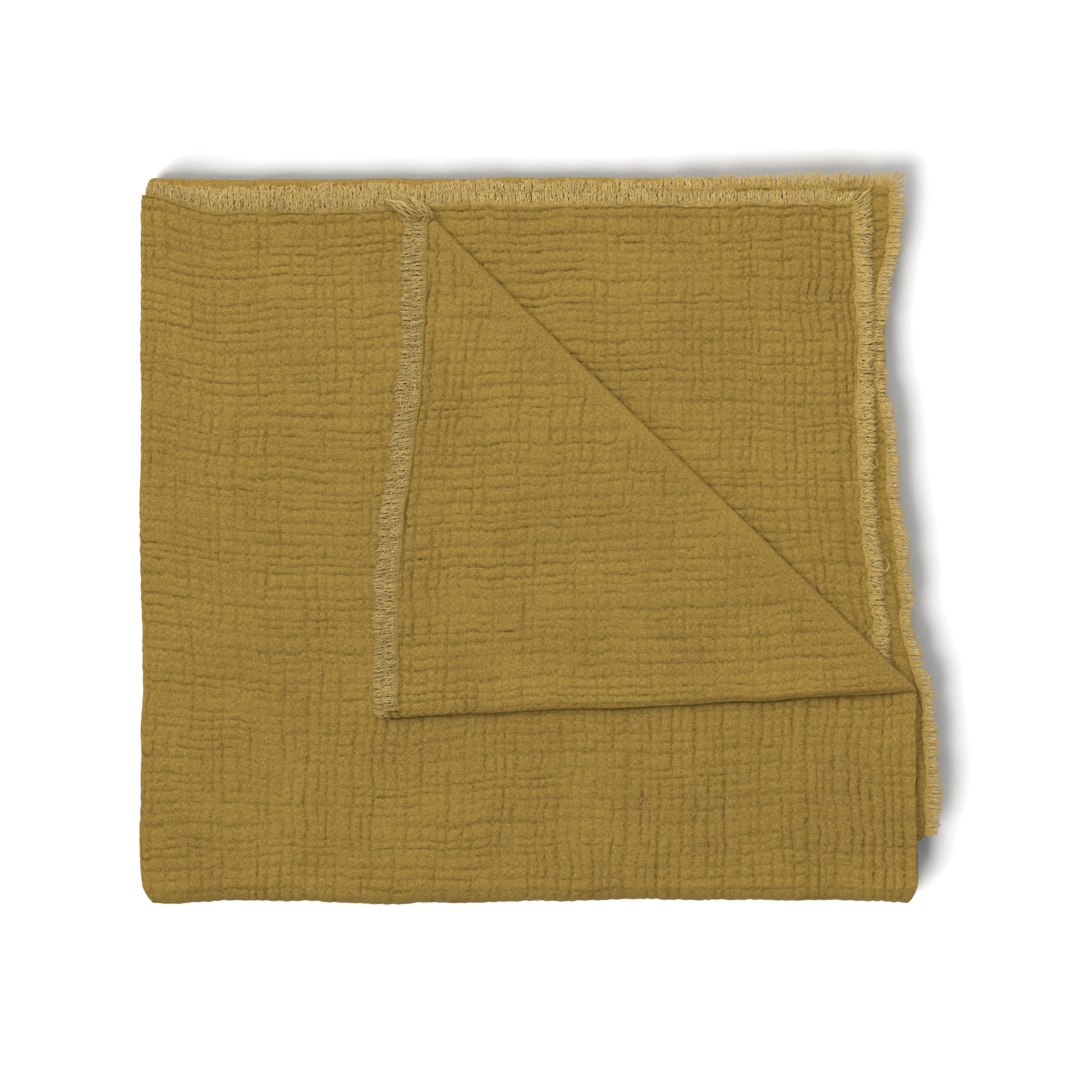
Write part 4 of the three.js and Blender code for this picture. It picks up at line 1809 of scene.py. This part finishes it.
    def corner_tufts(self) -> tuple:
        """Two tongues of combed yarn at the turned corner's tip, where the raw edge doubles back on itself.

        Returns:
            Centre lines of the yarns, and the radius at each step.
        """
        random = np.random.default_rng(77)
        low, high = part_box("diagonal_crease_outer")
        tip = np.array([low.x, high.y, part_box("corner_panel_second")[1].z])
        share = np.linspace(0, 1, self.fraying.steps)
        centres, radii = [], []
        for start, end, bow, spread, count in self.tufts:
            line = np.array(end) - np.array(start)
            aside = np.array([-line[1], line[0], 0.0]) / np.linalg.norm(line[:2])
            for number in range(count):
                strand = number % self.strands
                lane = (2 * strand + 1) / self.strands - 1 + random.normal(0, 0.06)
                width = spread * (0.55 + 0.45 * np.sin(math.pi * (0.25 + 0.6 * share)))
                width = width * (1 - 0.55 * share ** 3)
                stop = 1 - 0.16 * lane ** 2 - random.uniform(0, 0.10)
                way = (share * stop)[:, None] * line[None, :]
                side = lane * width + bow * np.sin(math.pi * share)
                side = side + 0.5 * MM * np.sin(share * 14 + strand * 2.1 + random.normal(0, 0.5))
                point = tip + np.array(start) + way + side[:, None] * aside
                crown = (1 - lane ** 2) * 1.3 * MM + 0.5 * MM * (strand % 2)
                point[:, 2] += crown * np.sin(math.pi * share * 0.9) + random.normal(0, 0.25 * MM)
                centres.append(point)
                radii.append(self.fraying.thickness / 2 * (1 - 0.4 * share ** 2))
        return np.array(centres), np.array(radii)

    def root_turned(self, rank: Rank, f: Array) -> Array:
        """Which yarns grow from the part of the raw edge that is turned back.

        Args:
            rank: The section.
            f: Each yarn's place on the edge.

        Returns:
            A flag for each yarn.
        """
        g = np.full_like(f, 5.0 - 1e-6)
        x, y = self.flat_places(rank, Patch(f, g, np.array([]), np.array([])))
        return self.fold.diagonal.past(x, y) > 0.5 * math.pi * self.fold.plan.pitch

    def line_turned(self, centres: Array) -> Array:
        """Which stray threads lie on the turned corner, by their height."""
        return centres[:, :, 2].mean(axis=1) > self.fold.diagonal.height - 0.2 * MM


# --- The studio -----------------------------------------------------------------------------------------


@dataclass
class Studio:
    """A plain floor that reads as white, soft light from all round and from the far left, and a camera
    above.

    The floor has an even light of its own, from the near left, so that the throw's soft shadow falls on it
    at the far side and the right. The throw's own softbox leaves the floor out.
    """

    floor: PaintedFloor = field(default_factory=PaintedFloor)
    view_width: float = 0.693
    camera_height: float = 2.3
    aim: tuple = (-0.0002, -0.0015)
    main_place: tuple = (-3.2, 1.6, 4.2)
    main_size: float = 2.2
    main_light: float = 152.0
    far_place: tuple = (0.3, 1.2, 1.2)
    far_size: float = 0.8
    far_light: float = 9.5
    floor_place: tuple = (-2.8, -2.7, 2.9)
    floor_light: float = 6.9
    floor_light_spread: float = math.radians(42)
    air: float = 0.51
    floor_half: float = 2.0
    floor_gap: float = 0.2 * MM

    def build(self) -> None:
        """Makes the floor, the lights and the camera."""
        floor = self.make_floor()
        centre = (0.0, 0.0, 0.0)
        main_light = self.make_light("throw_softbox", self.main_place, self.main_size, self.main_light,
                                     centre)
        self.make_light("far_softbox", self.far_place, self.far_size, self.far_light, centre)
        floor_light = self.make_floor_light(self.floor_place, centre)
        self.link(main_light, floor, "EXCLUDE")
        self.link(floor_light, floor, "INCLUDE")
        self.make_air()
        self.make_camera()
        bpy.context.scene.view_settings.view_transform = "Standard"

    def link(self, light: bpy.types.Object, floor: bpy.types.Object, state: str) -> None:
        """Makes a light leave the floor out, or light nothing else.

        Args:
            light: The light.
            floor: The floor.
            state: EXCLUDE to leave the floor out, INCLUDE to light only the floor.
        """
        receivers = bpy.data.collections.new(f"{light.name}_receivers")
        receivers.objects.link(floor)
        receivers.collection_objects[0].light_linking.link_state = state
        light.light_linking.receiver_collection = receivers

    def make_air(self) -> None:
        """Soft light from all round, in front of a white background."""
        world = bpy.data.worlds.new("studio_air")
        world.use_nodes = True
        tree = world.node_tree
        tree.nodes.clear()
        soft = add_node(tree, "ShaderNodeBackground", values={"Strength": self.air})
        white = add_node(tree, "ShaderNodeBackground", values={"Strength": 1.0})
        for background in (soft, white):
            background.inputs["Color"].default_value = (1.0, 1.0, 1.0, 1.0)
        seen = add_node(tree, "ShaderNodeLightPath").outputs["Is Camera Ray"]
        mixed = add_node(tree, "ShaderNodeMixShader",
                         links={0: seen, 1: soft.outputs[0], 2: white.outputs[0]})
        add_node(tree, "ShaderNodeOutputWorld", links={"Surface": mixed.outputs[0]})
        bpy.context.scene.world = world

    def make_floor(self) -> bpy.types.Object:
        """A large flat board just under the throw.

        Returns:
            The floor.
        """
        size = self.floor_half
        mesh = bpy.data.meshes.new("floor")
        points = np.array([(-size, -size, 0), (size, -size, 0), (size, size, 0), (-size, size, 0)], float)
        points[:, 2] = CAD_BOX[0].z - self.floor_gap
        build_mesh(mesh, points, np.arange(4), np.array([4]))
        floor = new_object("floor", mesh, self.floor.build())
        return floor

    def make_light(self, name: str, place: tuple, size: float, power: float,
                   target: tuple) -> bpy.types.Object:
        """A square soft light that faces the target.

        Args:
            name: The light's name.
            place: Where it hangs.
            size: Its side.
            power: Its power in watts.
            target: The point that it faces.

        Returns:
            The light.
        """
        data = bpy.data.lights.new(name, "AREA")
        data.shape = "SQUARE"
        data.size = size
        data.energy = power
        return self.hang(data, place, target)

    def make_floor_light(self, place: tuple, target: tuple) -> bpy.types.Object:
        """A wide, even light from one side, which doesn't fall off across the floor.

        Args:
            place: A point on the side that it comes from.
            target: The point that it faces.

        Returns:
            The light.
        """
        data = bpy.data.lights.new("floor_light", "SUN")
        data.angle = self.floor_light_spread
        data.energy = self.floor_light
        return self.hang(data, place, target)

    def hang(self, data: bpy.types.Light, place: tuple, target: tuple) -> bpy.types.Object:
        """Puts a light in the scene so that it faces the target.

        Args:
            data: The light's data.
            place: Where it hangs.
            target: The point that it faces.

        Returns:
            The light.
        """
        light = bpy.data.objects.new(data.name, data)
        light.location = place
        aim = [t - c for t, c in zip(target, place)]
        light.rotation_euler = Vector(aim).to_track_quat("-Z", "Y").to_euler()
        bpy.context.scene.collection.objects.link(light)
        return light

    def make_camera(self) -> None:
        """A camera straight above, with the floor's view as wide as asked at the throw's height."""
        data = bpy.data.cameras.new("camera")
        data.sensor_width = 36.0
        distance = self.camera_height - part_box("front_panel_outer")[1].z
        data.lens = data.sensor_width / 2 / (self.view_width / 2 / distance)
        data.clip_end = 50.0
        camera = bpy.data.objects.new("camera", data)
        camera.location = (*self.aim, self.camera_height)
        bpy.context.scene.collection.objects.link(camera)
        bpy.context.scene.camera = camera


def main() -> None:
    """Builds the throw from the table up, then the studio."""
    logging.basicConfig(level=logging.INFO, format="%(message)s")
    plan = StackPlan()
    fold = StackFold(plan, read_diagonal(plan))
    crinkle = Crinkle(fold)
    cloth = ClothMaker(fold, crinkle, CottonDoubleGauze().build())
    yarn = YarnMaker(fold, FrayedCottonYarn().build())
    for part in (LowerThirds, BottomCreases, FrontThird):
        part(fold, crinkle, cloth, yarn).build()
        LOG.info("built %s", part.__name__)
    Studio().build()


if __name__ == "__main__":
    main()
